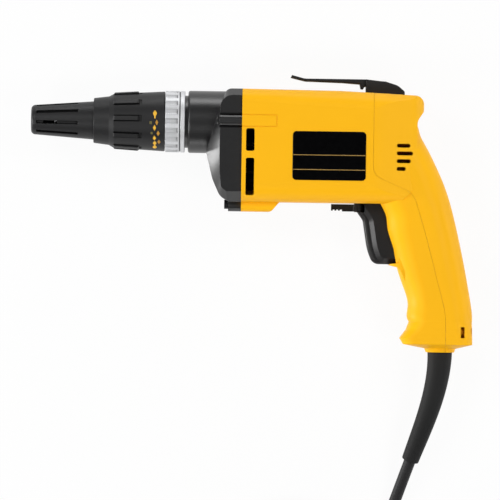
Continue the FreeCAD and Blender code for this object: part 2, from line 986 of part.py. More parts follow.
def parting_at(drop):
    """Where the parting line crosses a drop below the motor axis, between its corner points."""
    points = [(cover_x, -housing_top), (cover_x, handle_drop * parting_start_share)]
    points += [(handle_reach * x, handle_drop * y) for x, y in parting_shares]
    for (x0, d0), (x1, d1) in zip(points, points[1:]):
        if d0 <= drop <= d1:
            return x0 + (x1 - x0) * (drop - d0) / (d1 - d0)
    return points[-1][0]


def label_corners():
    return [
        (label_x, label_top, label_corner),
        (label_x, label_top - label_height, label_corner),
        (label_x + label_length, label_top - label_height, label_corner),
        (label_x + label_length, label_top, label_corner),
    ]


def label_plate():
    corners = []
    for x, y, radius in label_corners():
        inward = seat_gap if x == label_x else -seat_gap
        upward = -seat_gap if y == label_top else seat_gap
        corners.append((x + inward, y + upward, radius))
    face = housing_half_width + label_proud
    return slab(corners, face - label_thickness, face)


def case_outline(front_shares, front_radii, top_shares, top_radii):
    """A side view of the case, closed along the joint: up the front from the keel, then over the top."""
    corners = [(joint_x, -housing_depth * front_shares[-1][1], 0)]
    for (along, down), radius in reversed(list(zip(front_shares, front_radii))):
        corners.append((joint_x - gear_case_length * along, -housing_depth * down, radius))
    for (along, up), radius in reversed(list(zip(top_shares, top_radii))):
        corners.append((joint_x - gear_case_length * along, housing_top * up, radius))
    corners.append((joint_x, housing_top * top_shares[0][1], 0))
    return corners


def gear_case():
    """The black case: round neck, flat-sided body, screw bosses and the spigot for the nosepiece."""
    half = gear_case_half_width
    outline = case_outline(
        gear_case_front_shares, gear_case_front_radii, gear_case_top_shares, gear_case_top_radii
    )
    panel = case_outline(
        side_panel_front_shares, side_panel_front_radii, side_panel_top_shares, side_panel_top_radii
    )
    shoulder = gear_case_shoulder
    rise = [rounded(outline, on_xy(shoulder)), rounded(panel, on_xy(half))]
    bevel = Part.makeLoft(rise, True, True)
    body = slab(outline, -shoulder, shoulder).fuse([bevel, mirrored(bevel)])
    neck = turned(
        [
            (spigot_x, 0, 0),
            (spigot_x, spigot_radius, neck_edge),
            (neck_x, spigot_radius, 0),
            (neck_x, neck_radius, neck_edge),
            (joint_x - plate_thickness, neck_radius, 0),
            (joint_x - plate_thickness, 0, 0),
        ],
        spindle_rise,
    )
    case = body.fuse(neck)
    bosses = []
    cutters = []
    for y, z, seat in case_screw_axes():
        radius = side_boss_radius if z else keel_boss_radius
        front = seat - side_boss_bore if z else seat
        bosses.append(rod(front, joint_x, radius, y, z))
        cutters.append(rod(seat - overrun, seat, screw_head_radius + seat_gap, y, z))
        cutters.append(rod(seat - overrun, joint_x + overrun, screw_radius + run_gap, y, z))
    keel = block(
        joint_x - keel_screw_length,
        joint_x,
        -keel_boss_drop,
        -housing_depth + keel_boss_radius,
        -keel_boss_radius,
        keel_boss_radius,
    )
    reach = side_boss_radius + side_boss_groove
    trench = slab(
        [
            (joint_x - side_boss_length, side_boss_rise - reach, side_boss_groove),
            (joint_x, side_boss_rise - reach, 0),
            (joint_x, side_boss_rise + reach, 0),
            (joint_x - side_boss_length, side_boss_rise + reach, side_boss_groove),
        ],
        side_boss_z,
        housing_half_width + overrun,
    )
    case = case.cut(trench).cut(mirrored(trench)).fuse(bosses + [keel])
    pocket = gear_pocket_gap
    tip = gear_module * (gear_teeth / 2 + gear_addendum_share - gear_shift_share)
    cutters.append(rod(cavity_x, joint_x, tip + pocket, spindle_rise))
    cutters.append(rod(gear_x - pocket, joint_x, front_bearing_radius + pocket, 0))
    cutters.append(rod(spigot_x - overrun, joint_x, bush_radius, spindle_rise))
    cutters.append(bar(plate_section(0), plate_x, joint_x + overrun))
    cutters.append(seal(seat_gap))
    for cutter in cutters:
        case = case.cut(cutter)
    return case


def plate_section(gap):
    inset = plate_inset + gap
    return body_section(
        housing_top - inset,
        housing_depth - inset,
        gear_case_half_width - inset,
        plate_crown - gap,
        plate_corner - gap,
    )


def bearing_plate():
    plate = bar(plate_section(seat_gap), plate_x, joint_x)
    collar_radius = front_bearing_radius + gear_pocket_gap - seat_gap
    plate = plate.fuse(rod(joint_x - front_bearing_width, plate_x, collar_radius, 0))
    far = joint_x + overrun
    plate = plate.cut(rod(plate_x - overrun, far, front_bearing_radius + run_gap, 0))
    return plate.cut(rod(plate_x - overrun, far, gear_journal_radius + run_gap, spindle_rise))


def seal(swell):
    """The rubber ring that grips the nosepiece on the spigot."""
    middle = spigot_radius - seal_wire / 2 + slide_gap / 2
    place = V(spigot_x + seal_setback, spindle_rise, 0)
    return Part.makeTorus(middle, seal_wire / 2 + swell, place, V(1, 0, 0))


def ball_bearing(start, width, outer, bore):
    """A sealed bearing as one ring, with the sunk seals on both faces."""
    race = tube(start, start + width, outer, bore + run_gap, 0)
    race_wall = (outer - bore) * race_wall_share
    groove_depth = width * race_groove_share
    groove = tube(start - overrun, start + groove_depth, outer - race_wall, bore + race_wall, 0)
    rear = groove.translated(V(overrun + width - groove_depth, 0, 0))
    return race.cut(groove).cut(rear)


def involute(base, radius):
    """The angle that an involute has turned through when it reaches a radius."""
    tangent = math.sqrt(max((radius / base) ** 2 - 1, 0))
    return tangent - math.atan(tangent)


def gear_blank(teeth, shift, start, end, y, turn):
    """A spur gear along X with involute flanks, each drawn as one arc through three points."""
    pitch = gear_module * teeth / 2
    base = pitch * math.cos(pressure_angle)
    tip = pitch + gear_module * (gear_addendum_share + shift)
    root = pitch - gear_module * (gear_dedendum_share - shift)
    thick = gear_module * (math.pi / 2 + 2 * shift * math.tan(pressure_angle)) - gear_backlash
    half = thick / (2 * pitch) + involute(base, pitch)
    foot = max(root, base)
    rows = [foot, (foot + tip) / 2, tip]
    edges = []

    def at(radius, angle):
        return V(start, y + radius * math.cos(angle), radius * math.sin(angle))

    step = 2 * math.pi / teeth
    for i in range(teeth):
        mid = turn + i * step
        left = [at(r, mid - half + involute(base, r)) for r in rows]
        right = [at(r, mid + half - involute(base, r)) for r in rows]
        if root < foot - tiny:
            edges.append(Part.makeLine(at(root, mid - half), left[0]))
        edges.append(Part.Arc(left[0], left[1], left[2]).toShape())
        edges.append(Part.Arc(left[2], at(tip, mid), right[2]).toShape())
        edges.append(Part.Arc(right[2], right[1], right[0]).toShape())
        if root < foot - tiny:
            edges.append(Part.makeLine(right[0], at(root, mid + half)))
        follow = mid + step - half
        floor = [at(root, angle) for angle in (mid + half, mid + step / 2, follow)]
        edges.append(Part.Arc(floor[0], floor[1], floor[2]).toShape())
    return Part.Face(Part.Wire(edges)).extrude(V(end - start, 0, 0))


def dogs(start, end):
    """Three clutch dogs standing on a flange, between two places along X."""
    ring = tube(start, end, dog_outer_radius, dog_inner_radius, spindle_rise)
    far = spindle_rise + overrun
    corners = [(start, spindle_rise, 0), (end, spindle_rise, 0), (end, far, 0), (start, far, 0)]
    face = Part.Face(rounded(corners, on_xy(0)))
    sector = face.revolve(V(0, spindle_rise, 0), V(1, 0, 0), dog_angle)
    return [ring.common(spun(sector, 360.0 * i / dog_count, spindle_rise)) for i in range(dog_count)]


def clutch_gear():
    turn = math.pi / gear_teeth + math.pi
    wheel = gear_blank(gear_teeth, -gear_shift_share, gear_x, gear_rear_x, spindle_rise, turn)
    journal = rod(gear_rear_x, gear_rear_x + gear_journal_length, gear_journal_radius, spindle_rise)
    wheel = wheel.fuse([journal] + dogs(gear_dog_x, gear_x))
    bore = rod(gear_dog_x - overrun, gear_rear_x + run_gap, pilot_radius + run_gap, spindle_rise)
    return wheel.cut(bore)


def spindle():
    body = turned(
        [
            (spindle_x, 0, 0),
            (spindle_x, spindle_radius, clip_wire),
            (flange_x, spindle_radius, 0),
            (flange_x, dog_outer_radius, 0),
            (flange_rear_x, dog_outer_radius, 0),
            (flange_rear_x, pilot_radius, 0),
            (flange_rear_x + pilot_length, pilot_radius, 0),
            (flange_rear_x + pilot_length, 0, 0),
        ],
        spindle_rise,
    )
    body = body.fuse([spun(d, 60.0, spindle_rise) for d in dogs(flange_rear_x, spindle_dog_x)])
    socket_end = spindle_x + shank_length + hex_gap
    body = body.cut(hexagon(spindle_x - overrun, socket_end, hex_flats + hex_gap, spindle_rise))
    clip_x = spindle_x + clip_setback
    floor = spindle_radius - 2 * clip_wire
    far = spindle_radius + overrun
    body = body.cut(tube(clip_x - clip_wire, clip_x + clip_wire, far, floor, spindle_rise))
    return body.cut(stud(spindle_rise, spindle_rise + spindle_radius, ball_radius + run_gap, clip_x))


def retaining_clip():
    clip_x = spindle_x + clip_setback
    half = clip_wire - seat_gap
    inner = spindle_radius - 2 * clip_wire + seat_gap
    ring = tube(clip_x - half, clip_x + half, spindle_radius, inner, spindle_rise)
    near = clip_x - overrun
    far = clip_x + overrun
    return ring.cut(block(near, far, spindle_rise - overrun, spindle_rise, -clip_wire, clip_wire))


def retaining_ball(swell):
    """The ball that the clip presses into the bit holder's shank."""
    middle = spindle_rise + spindle_radius - 2 * clip_wire - ball_radius
    return Part.makeSphere(ball_radius + swell, V(spindle_x + clip_setback, middle, 0))


def bit_holder():
    body = turned(
        [
            (holder_x, 0, 0),
            (holder_x, holder_radius, holder_lip),
            (spindle_x - seat_gap, holder_radius, holder_lip),
            (spindle_x - seat_gap, 0, 0),
        ],
        spindle_rise,
    )
    shank = hexagon(spindle_x - seat_gap, spindle_x + shank_length, hex_flats, spindle_rise)
    body = body.fuse(shank).cut(retaining_ball(seat_gap))
    floor = holder_x + holder_socket_depth
    body = body.cut(hexagon(holder_x - overrun, floor, hex_flats + hex_gap, spindle_rise))
    return body.cut(rod(holder_x, floor + magnet_length, magnet_radius + run_gap, spindle_rise))


def bit_magnet():
    start = holder_x + holder_socket_depth
    return rod(start, start + magnet_length, magnet_radius, spindle_rise)


def clutch_spring():
    """A short coil between the spindle's flange and the gear."""
    start = flange_rear_x + spring_wire / 2 + run_gap
    length = gear_x - flange_rear_x - spring_wire - 2 * run_gap
    helix = Part.makeHelix(length / spring_turns, length, spring_radius)
    wire = Part.Wire(helix.Edges)
    place = FreeCAD.Placement(V(start, spindle_rise, 0), FreeCAD.Rotation(V(0, 1, 0), 90))
    section = Part.Wire([Part.makeCircle(spring_wire / 2, V(spring_radius, 0, 0), V(0, 1, 0))])
    coil = wire.makePipeShell([section], True, True)
    coil.Placement = place
    return coil


def depth_ring():
    """The bright ring with finger scallops, and the hidden journal that the collar turns on."""
    inner = nose_rear_radius + slide_gap
    journal_x = ring_x - journal_length
    body = turned(
        [
            (journal_x, inner, 0),
            (journal_x, inner + journal_wall, 0),
            (ring_x, inner + journal_wall, 0),
            (ring_x, ring_radius, collar_edge),
            (ring_rear_x, ring_radius, collar_edge),
            (ring_rear_x, spigot_radius + slide_gap, 0),
            (ring_x + ring_web - slide_gap, spigot_radius + slide_gap, 0),
            (ring_x + ring_web - slide_gap, inner, 0),
        ],
        spindle_rise,
    )
    groove_x = ring_rear_x - ring_groove_back
    floor = ring_radius - ring_groove_depth
    far = ring_radius + overrun
    body = body.cut(tube(groove_x - ring_groove_width, groove_x, far, floor, spindle_rise))
    reach = ring_radius + scallop_radius - scallop_depth
    scallop = rod(ring_x - tiny, ring_rear_x - scallop_back, scallop_radius, spindle_rise + reach)
    return body.cut(repeated(scallop, scallop_count, spindle_rise))


def depth_collar():
    """The ribbed collar that sets the screw depth."""
    bore = nose_rear_radius + slide_gap
    seat = bore + journal_wall + slide_gap
    journal_x = ring_x - journal_length - slide_gap
    step_x = collar_x + collar_cone_length
    band_x = step_x + collar_step_length
    body = turned(
        [
            (collar_x, bore, 0),
            (collar_x, collar_front_radius, collar_edge),
            (step_x, collar_cone_radius, collar_edge),
            (band_x, collar_band_radius, collar_edge),
            (collar_rear_x, collar_rear_radius, collar_edge),
            (collar_rear_x, seat, 0),
            (journal_x, seat, 0),
            (journal_x, bore, 0),
        ],
        spindle_rise,
    )
    rise = (collar_rear_radius - collar_band_radius) / (collar_rear_x - band_x)
    start = collar_x + rib_start
    end = start + rib_length
    top = collar_band_radius + rib_height
    rib = slab(
        [
            (start, spindle_rise + collar_cone_radius - rib_height, 0),
            (start + rib_ramp, spindle_rise + top, rib_height),
            (end - rib_ramp, spindle_rise + top + rise * (end - band_x), rib_height),
            (end, spindle_rise + collar_band_radius - rib_height, 0),
        ],
        -rib_width / 2,
        rib_width / 2,
    )
    floor = spindle_rise + collar_band_radius - rib_groove_depth
    floor_end = floor + rise * (end - band_x)
    half = rib_width / 2 + rib_groove
    groove = slab(
        [(band_x, floor, 0), (end, floor_end, 0), (end, floor + overrun, 0), (band_x, floor + overrun, 0)],
        -half,
        half,
    )
    body = body.cut(repeated(groove, rib_count, spindle_rise, rib_first))
    return body.fuse(repeated(rib, rib_count, spindle_rise, rib_first).Solids)


def nose_cone():
    """The tapered nose with its grooves and windows, and the tail that slides in the collar."""
    body = turned(
        [
            (nose_x, nose_bore_radius, 0),
            (nose_x, nose_tip_radius, nose_tip_edge),
            (collar_x - slide_gap, nose_rear_radius, 0),
            (collar_x + nose_tail, nose_rear_radius, 0),
            (collar_x + nose_tail, nose_relief_radius, 0),
            (nose_x + nose_lip, nose_relief_radius, 0),
            (nose_x + nose_lip, nose_bore_radius, 0),
        ],
        spindle_rise,
    )
    slope = (nose_rear_radius - nose_tip_radius) / nose_length
    x0 = nose_x + groove_start
    x1 = x0 + groove_length
    low0 = spindle_rise + nose_tip_radius + slope * groove_start - groove_sink
    low1 = low0 + slope * groove_length
    groove = slab(
        [(x0, low0, 0), (x1, low1, 0), (x1, low1 + overrun, 0), (x0, low0 + overrun, 0)],
        -groove_width / 2,
        groove_width / 2,
    )
    body = body.cut(repeated(groove, groove_count, spindle_rise, groove_first))
    start = nose_x + window_start
    window = block(
        start,
        start + window_length,
        spindle_rise,
        spindle_rise + nose_rear_radius + overrun,
        -groove_width / 2,
        groove_width / 2,
    )
    return body.cut(repeated(window, window_count, spindle_rise, groove_first))


def armature_shaft():
    shaft = rod(gear_rear_x + run_gap, rear_bearing_x, shaft_radius, 0)
    tail = rod(rear_bearing_x, cover_x, shaft_rear_radius, 0)
    pinion = gear_blank(pinion_teeth, gear_shift_share, shaft_front_x, gear_rear_x + run_gap, 0, 0)
    return shaft.fuse([tail, pinion])


def armature_core():
    core = tube(core_x, core_end_x, core_radius, shaft_radius, 0)
    slot = block(
        core_x - overrun,
        core_end_x + overrun,
        core_radius - slot_depth,
        core_radius + overrun,
        -slot_width / 2,
        slot_width / 2,
    )
    return core.cut(repeated(slot, core_slots, 0))


def armature_windings():
    """The rounded end turns on both sides of the core."""
    edge = winding_edge
    ends = []
    for start in (core_x - winding_length, core_end_x):
        ends.append(
            turned(
                [
                    (start, shaft_radius, 0),
                    (start, winding_radius, edge),
                    (start + winding_length, winding_radius, edge),
                    (start + winding_length, shaft_radius, 0),
                ],
                0,
            )
        )
    return Part.makeCompound(ends)


def commutator():
    body = tube(commutator_x, commutator_end_x, commutator_radius, shaft_radius, 0)
    slot = block(
        commutator_x - overrun,
        commutator_end_x + overrun,
        commutator_radius - commutator_slot_depth,
        commutator_radius + overrun,
        -commutator_slot / 2,
        commutator_slot / 2,
    )
    return body.cut(repeated(slot, commutator_bars, 0))


def cooling_fan():
    disc = tube(fan_x + fan_width - fan_disc, fan_x + fan_width, fan_radius, shaft_radius, 0)
    hub = tube(fan_x, fan_x + fan_width, fan_hub_radius, shaft_radius, 0)
    blade = block(
        fan_x,
        fan_x + fan_width - fan_disc,
        fan_hub_radius - blade_thickness,
        fan_radius - blade_thickness,
        -blade_thickness / 2,
        blade_thickness / 2,
    )
    return disc.fuse([hub] + repeated(blade, fan_blades, 0).Solids)


def fan_baffle():
    start = fan_x + fan_width + slide_gap
    ring = tube(start, start + baffle_thickness, field_radius, baffle_radius, 0)
    ring = ring.common(barrel(wall + seat_gap))
    end = start + baffle_thickness
    for sign in (1, -1):
        z = sign * side_boss_z
        ring = ring.cut(rod(start, end, side_boss_radius + seat_gap, side_boss_rise, z))
    return ring


def field_core():
    ring = tube(core_x, core_end_x, field_radius, core_radius + air_gap, 0)
    near = core_x - overrun
    far = core_end_x + overrun
    hollow = tube(near, far, field_radius - pole_depth, core_radius + air_gap, 0)
    reach = field_radius * 2
    rise = reach * math.tan(math.radians(pole_gap_angle / 2))
    wedge = bar([(0, 0, 0), (rise, reach, 0), (-rise, reach, 0)], near, far)
    return ring.cut(hollow.common(wedge)).cut(hollow.common(mirrored(wedge)))


def field_coils():
    """The end turns of the two field windings, above and below the armature."""
    inner = core_radius + 2 * air_gap
    reach = field_winding_radius * 2
    spread = reach * math.tan(math.radians(field_winding_angle / 2))
    corners = [(0, 0, 0), (reach, spread, 0), (reach, -spread, 0)]
    wedge = bar(corners, core_x - overrun, core_end_x + overrun)
    ends = []
    for start in (core_x - field_winding_length, core_end_x):
        edge = field_winding_edge
        ring = turned(
            [
                (start, inner, edge / 2),
                (start, field_winding_radius, edge),
                (start + field_winding_length, field_winding_radius, edge),
                (start + field_winding_length, inner, edge / 2),
            ],
            0,
        )
        upper = ring.common(wedge)
        ends.append(upper)
        ends.append(spun(upper, 180.0, 0))
    return Part.makeCompound(ends)


def brush_pieces():
    """Two carbon brushes and the brass boxes that hold them, on either side of the commutator."""
    x = (commutator_x + commutator_end_x) / 2
    box_start = commutator_radius + brush_box_start
    box_wall = brush_box_wall
    wide = brush_width / 2
    deep = brush_depth / 2
    start = commutator_radius + run_gap
    brush = block(x - wide, x + wide, -deep, deep, start, start + brush_length)
    half_x = wide + box_wall
    half_y = deep + box_wall
    box = block(x - half_x, x + half_x, -half_y, half_y, box_start, field_radius)
    hole_x = wide + run_gap
    hole_y = deep + run_gap
    box = box.cut(block(x - hole_x, x + hole_x, -hole_y, hole_y, 0, field_radius - box_wall))
    spring_start = start + brush_length
    length = field_radius - box_wall - spring_start
    rise = length - 2 * brush_spring_wire
    helix = Part.makeHelix(rise / spring_turns, rise, brush_spring_radius)
    end = V(brush_spring_radius, 0, 0)
    section = Part.Wire([Part.makeCircle(brush_spring_wire / 2, end, V(0, 1, 0))])
    spring = Part.Wire(helix.Edges).makePipeShell([section], True, True)
    spring.translate(V(x, 0, spring_start + brush_spring_wire))
    return [Part.makeCompound([s, mirrored(s)]) for s in (brush, box, spring)]


def trigger_outline(step, lift):
    """Side view of the trigger, its front edge moved back by step and its foot raised by lift."""
    rear_top = grip_x(trigger_top, 1) + trigger_seat
    rear_low = grip_x(trigger_foot, 1) + trigger_seat
    return [
        (trigger_step_x, -trigger_top, trigger_horn_radius),
        (trigger_step_x, -trigger_neck, 0),
        (trigger_horn_x + step, -trigger_neck, 0),
        (trigger_front_x + step, -trigger_front_drop, trigger_front_radius),
        (trigger_belly_x + step, -trigger_belly_drop, trigger_belly_radius),
        (trigger_toe_x + step, -trigger_foot + lift, trigger_toe_radius),
        (rear_low, -trigger_foot + lift, 0),
        (rear_top, -trigger_top, 0),
    ]


def trigger():
    """The rounded finger pad, the broader body with its bevelled shoulder, and the stem."""
    pad = slab(trigger_outline(0, 0), -trigger_pad_half_width, trigger_pad_half_width)
    side = trigger_pad_half_width - tiny
    low = -trigger_foot + tiny
    high = -trigger_neck - tiny
    pad = softened(
        pad,
        trigger_edge,
        lambda p: abs(p.z) > side and p.x < trigger_step_x and low < p.y < high,
    )
    outline = trigger_outline(trigger_shoulder, trigger_body_lift)
    body = slab(outline, -trigger_half_width, trigger_half_width)
    edges = []
    for edge in body.Edges:
        p = edge.valueAt((edge.FirstParameter + edge.LastParameter) / 2)
        if abs(p.z) > trigger_half_width - tiny and low < p.y < high and p.x < grip_x(-p.y, 1):
            edges.append(edge)
    body = body.makeChamfer(trigger_bevel, edges)
    edge = grip_x(stem_drop, 1)
    stem = rod(edge, edge + trigger_seat + trigger_travel + wall + stem_reach, stem_radius, -stem_drop)
    return pad.fuse([body, stem])


def switch_body():
    ahead = trigger_seat + trigger_travel + wall
    top = grip_x(switch_top, 1) + ahead
    low = grip_x(switch_foot, 1) + ahead
    corners = [
        (top, -switch_top, 0),
        (low, -switch_foot, 0),
        (low + switch_depth, -switch_foot, 0),
        (top + switch_depth, -switch_top, 0),
    ]
    body = slab(corners, -switch_half_width, switch_half_width)
    edge = grip_x(stem_drop, 1) + ahead
    return body.cut(rod(edge - overrun, edge + switch_bore_depth, stem_radius + slide_gap, -stem_drop))


def reversing_lever():
    top = -housing_depth - lever_drop
    half = lever_half_width
    arm = block(lever_tip_x, lever_x, top - lever_thickness, top, -half, half)
    root = block(lever_step_x, lever_x, top - lever_hub_thickness, top, -half, half)
    hub = stud(top - lever_hub_thickness, top, lever_hub_radius, lever_x)
    inside = -housing_depth + wall + slide_gap
    pin = stud(top - lever_drop, inside + lever_head_thickness, lever_stud_radius, lever_x)
    head = stud(inside, inside + lever_head_thickness, lever_head_radius, lever_x)
    ridges = []
    low = top - lever_thickness
    for i in range(lever_ridges):
        x = lever_tip_x + i * lever_ridge_pitch
        ridges.append(block(x, x + lever_ridge_width, low - lever_ridge_height, low, -half, half))
    return arm.fuse([root, hub, pin, head] + ridges)


def hook_top():
    return housing_mid_top + hook_rise


def belt_hook():
    """The folded hook on top of the housing."""
    top = hook_top()
    under = top - hook_thickness
    end = hook_base_x + hook_base_length
    low = housing_rear_top - wall
    back = []
    for (along, down), radius in zip(hook_back_shares, hook_back_radii):
        back.append((hook_base_x + hook_base_length * along, top - hook_rise * down, radius))
    arm = [
        (hook_tip_x, top + hook_tip_rise, 0),
        (hook_knee_x, top, hook_bend_radius),
        (hook_base_x, top, 0),
    ]
    arm += back
    arm += [
        (end, low, 0),
        (hook_base_x, low, 0),
        (hook_base_x, top - hook_notch_drop, 0),
        (hook_tab_x + hook_tab_width, top - hook_notch_drop, 0),
        (hook_tab_x + hook_tab_width, low, 0),
        (hook_tab_x, low, 0),
        (hook_tab_x, top - hook_root_thickness, 0),
        (hook_root_x, top - hook_root_thickness, hook_bend_radius),
        (hook_knee_x, under, hook_bend_radius),
        (hook_tip_x - hook_tip_lean, top + hook_tip_rise - hook_thickness, 0),
    ]
    base = [(hook_base_x, top, 0)] + back + [(end, low, 0), (hook_base_x, low, 0)]
    hook = slab(arm, -hook_half_width, hook_half_width)
    hook = softened(hook, hook_edge_radius, lambda p: abs(p.z) > hook_half_width - tiny)
    foot = slab(base, -hook_base_half_width, hook_base_half_width)
    foot = softened(foot, hook_edge_radius, lambda p: abs(p.z) > hook_base_half_width - tiny)
    hook = hook.fuse(foot).cut(barrel(0))
    x = hook_base_x + hook_screw_back
    hook = hook.cut(stud(top - hook_screw_sink, top + overrun, hook_screw_head + seat_gap, x))
    return hook.cut(stud(low, top, hook_screw_radius + run_gap, x))


def belt_hook_screw():
    x = hook_base_x + hook_screw_back
    seat = hook_top() - hook_screw_sink
    head = stud(seat, seat + hook_screw_radius, hook_screw_head, x)
    socket = stud(seat + hook_socket_floor, seat + overrun, hook_socket_radius, x)
    shank = stud(housing_rear_top - wall - hook_screw_bite, seat, hook_screw_radius, x)
    return head.cut(socket).fuse(shank)


def cover_screws():
    screws = []
    for drop, step in cover_posts:
        seat = parting_at(drop) + cover_head_setback
        one = screw(0, cover_shank, 0, 0).rotated(V(0, 0, 0), V(0, 1, 0), 180)
        screws.append(one.translated(V(seat, -drop, step)))
    return Part.makeCompound(screws)


def relief_path():
    """A cubic from the handle's boss to the free cord's first point, about the mid-plane."""
    start = V(relief_x, -relief_boss_drop, 0)
    end = V(*cord_route[0]) - V(0, 0, rest_height)
    follow = V(*cord_route[1]) - V(*cord_route[0])
    follow.normalize()
    pull = (end - start).Length * relief_pull_share
    grip = [start, start + V(0, -pull, 0), end - follow * pull, end]
    stations = []
    for i in range(relief_stations):
        t = i / (relief_stations - 1)
        s = 1 - t
        point = grip[0] * s**3 + grip[1] * (3 * s * s * t)
        point = point + grip[2] * (3 * s * t * t) + grip[3] * t**3
        slope = (grip[1] - grip[0]) * (s * s) + (grip[2] - grip[1]) * (2 * s * t)
        slope = slope + (grip[3] - grip[2]) * (t * t)
        stations.append((point, slope, t))
    return stations


def cord_relief():
    """The tapered rubber sleeve, its flange inside the handle and the tail under the clamp."""
    rings = []
    for point, slope, t in relief_path():
        radius = relief_radius + (relief_end_radius - relief_radius) * t
        rings.append(Part.Wire([Part.makeCircle(radius, point, slope)]))
    sleeve = Part.makeLoft(rings, True, False)
    neck = stud(-relief_boss_drop, -handle_drop + seat_gap, relief_radius, relief_x)
    flange_low = -handle_drop + seat_gap
    flange = stud(flange_low, flange_low + relief_flange_thickness, relief_flange_radius, relief_x)
    tail = stud(flange_low, -relief_neck_top, relief_neck_radius, relief_x)
    return sleeve.fuse([neck, flange, tail])


def cord_clamp():
    x = relief_x + relief_neck_radius + seat_gap
    half = clamp_height / 2
    low = -clamp_drop - half
    wide = clamp_half_width
    plate = block(x, x + clamp_thickness, low, low + clamp_height, -wide, wide)
    for sign in (1, -1):
        z = sign * clamp_screw_step
        plate = plate.cut(rod(x - overrun, x + overrun, screw_radius + run_gap, -clamp_drop, z))
    return plate


def clamp_screws():
    seat = relief_x + relief_neck_radius + seat_gap + clamp_thickness
    screws = []
    for sign in (1, -1):
        one = screw(0, cover_shank, 0, 0).rotated(V(0, 0, 0), V(0, 1, 0), 180)
        screws.append(one.translated(V(seat, -clamp_drop, sign * clamp_screw_step)))
    return Part.makeCompound(screws)


def routed(points, radius):
    """A round tube along straight runs joined by tangent arcs; prints its bends and its volume."""
    places = [V(*p) for p in points]
    ends = [places[0]]
    edges = []
    length = 0.0
    radii = []
    for before, corner, after in zip(places, places[1:], places[2:]):
        back = before - corner
        ahead = after - corner
        reach = bend_share * min(back.Length, ahead.Length)
        back.normalize()
        ahead.normalize()
        half = back.getAngle(ahead) / 2
        bend = reach * math.tan(half)
        inward = back + ahead
        inward.normalize()
        start = corner + back * reach
        end = corner + ahead * reach
        middle = corner + inward * (bend / math.sin(half) - bend)
        edges.append(Part.LineSegment(ends[-1], start).toShape())
        edges.append(Part.Arc(start, middle, end).toShape())
        ends.append(end)
        radii.append(round(bend, 1))
    edges.append(Part.LineSegment(ends[-1], places[-1]).toShape())
    path = Part.Wire(edges)
    first = places[1] - places[0]
    section = Part.Wire([Part.makeCircle(radius, places[0], first)])
    solid = path.makePipeShell([section], True, False)
    share = solid.Volume / (math.pi * radius**2 * path.Length)
    print("cord run: bends", radii, "length", round(path.Length, 1), "volume share", round(share, 4))
    return solid


def coil_point(turn):
    """The coil's centreline: turns in on the lower layer, a climb, turns out on the upper."""
    inner = coil_outer_radius - coil_pitch * coil_turns_per_layer
    climb = turn - coil_turns_per_layer
    low = cord_route[-1][2]
    if climb <= 0:
        radius = coil_outer_radius - coil_pitch * turn
        z = low
    elif climb <= climb_share:
        t = climb / climb_share
        radius = inner - coil_tuck * math.sin(math.pi * t)
        z = low + coil_rise * (t - math.sin(2 * math.pi * t) / (2 * math.pi))
    else:
        radius = inner + coil_pitch * (climb - climb_share)
        z = low + coil_rise
    angle = -2 * math.pi * turn
    x, y, floor = cord_route[-1]
    centre = V(x - coil_outer_radius, y - 2 * cord_radius, 0)
    return centre + V(radius * math.cos(angle), radius * math.sin(angle), z)


def coil_turns():
    return 2 * coil_turns_per_layer + climb_share + coil_leave_share


def arc_from(start, heading, end):
    """The arc that leaves start along heading and reaches end."""
    chord = end - start
    side = chord - heading * chord.dot(heading)
    if side.Length < tiny:
        return Part.LineSegment(start, end).toShape()
    side.normalize()
    radius = chord.dot(chord) / (2 * chord.dot(side))
    centre = start + side * radius
    out = (start + end) * 0.5 - centre
    out.normalize()
    return Part.Arc(start, centre + out * radius, end).toShape()


def biarc(p0, t0, p1, t1):
    """Two arcs that join two points smoothly along two headings."""
    v = p1 - p0
    both = t0 + t1
    spread = 2 * (1 - t0.dot(t1))
    if spread < tiny * tiny:
        reach = v.Length / 4
    else:
        along = v.dot(both)
        reach = (math.sqrt(along * along + 2 * spread * v.dot(v) / 2) - along) / spread
    middle = (p0 + p1 + (t0 - t1) * reach) * 0.5
    second = arc_from(p1, t1 * -1, middle)
    return [arc_from(p0, t0, middle), second]


def cord_coil():
    """The put-away cord: an unbroken tube in two layers of turns, straight at both ends."""
    turns = coil_turns()
    count = int(round(turns * 4))
    points = []
    for i in range(count + 1):
        turn = turns * i / count
        heading = coil_point(turn + nudge_share) - coil_point(turn - nudge_share)
        heading.normalize()
        points.append((coil_point(turn), heading))
    points[0] = (points[0][0], V(0, -1, 0))
    start = points[0][0] - points[0][1] * (2 * cord_radius)
    last, leave = points[-1]
    leave = V(leave.x, leave.y, 0)
    leave.normalize()
    points[-1] = (last, leave)
    end = last + leave * (2 * cord_radius)
    edges = [Part.LineSegment(start, points[0][0]).toShape()]
    for (p0, t0), (p1, t1) in zip(points, points[1:]):
        edges += biarc(p0, t0, p1, t1)
    edges.append(Part.LineSegment(last, end).toShape())
    path = Part.Wire(Part.sortEdges(edges)[0])
    section = Part.Wire([Part.makeCircle(cord_radius, start, points[0][1])])
    solid = path.makePipeShell([section], True, False)
    share = solid.Volume / (math.pi * cord_radius**2 * path.Length)
    print("coil: length", round(path.Length, 1), "volume share", round(share, 4))
    print("coil: least gap", round(coil_gap(path), 2))
    return solid, end, leave


def coil_gap(path):
    """The least clear space between the coil's tube and itself, on points along it."""
    samples = path.discretize(Distance=cord_radius / 2)
    apart = int(round(2 * math.pi * cord_radius))
    least = overrun
    for i, p in enumerate(samples):
        for q in samples[i + apart :]:
            least = min(least, p.distanceToPoint(q))
    return least - 2 * cord_radius


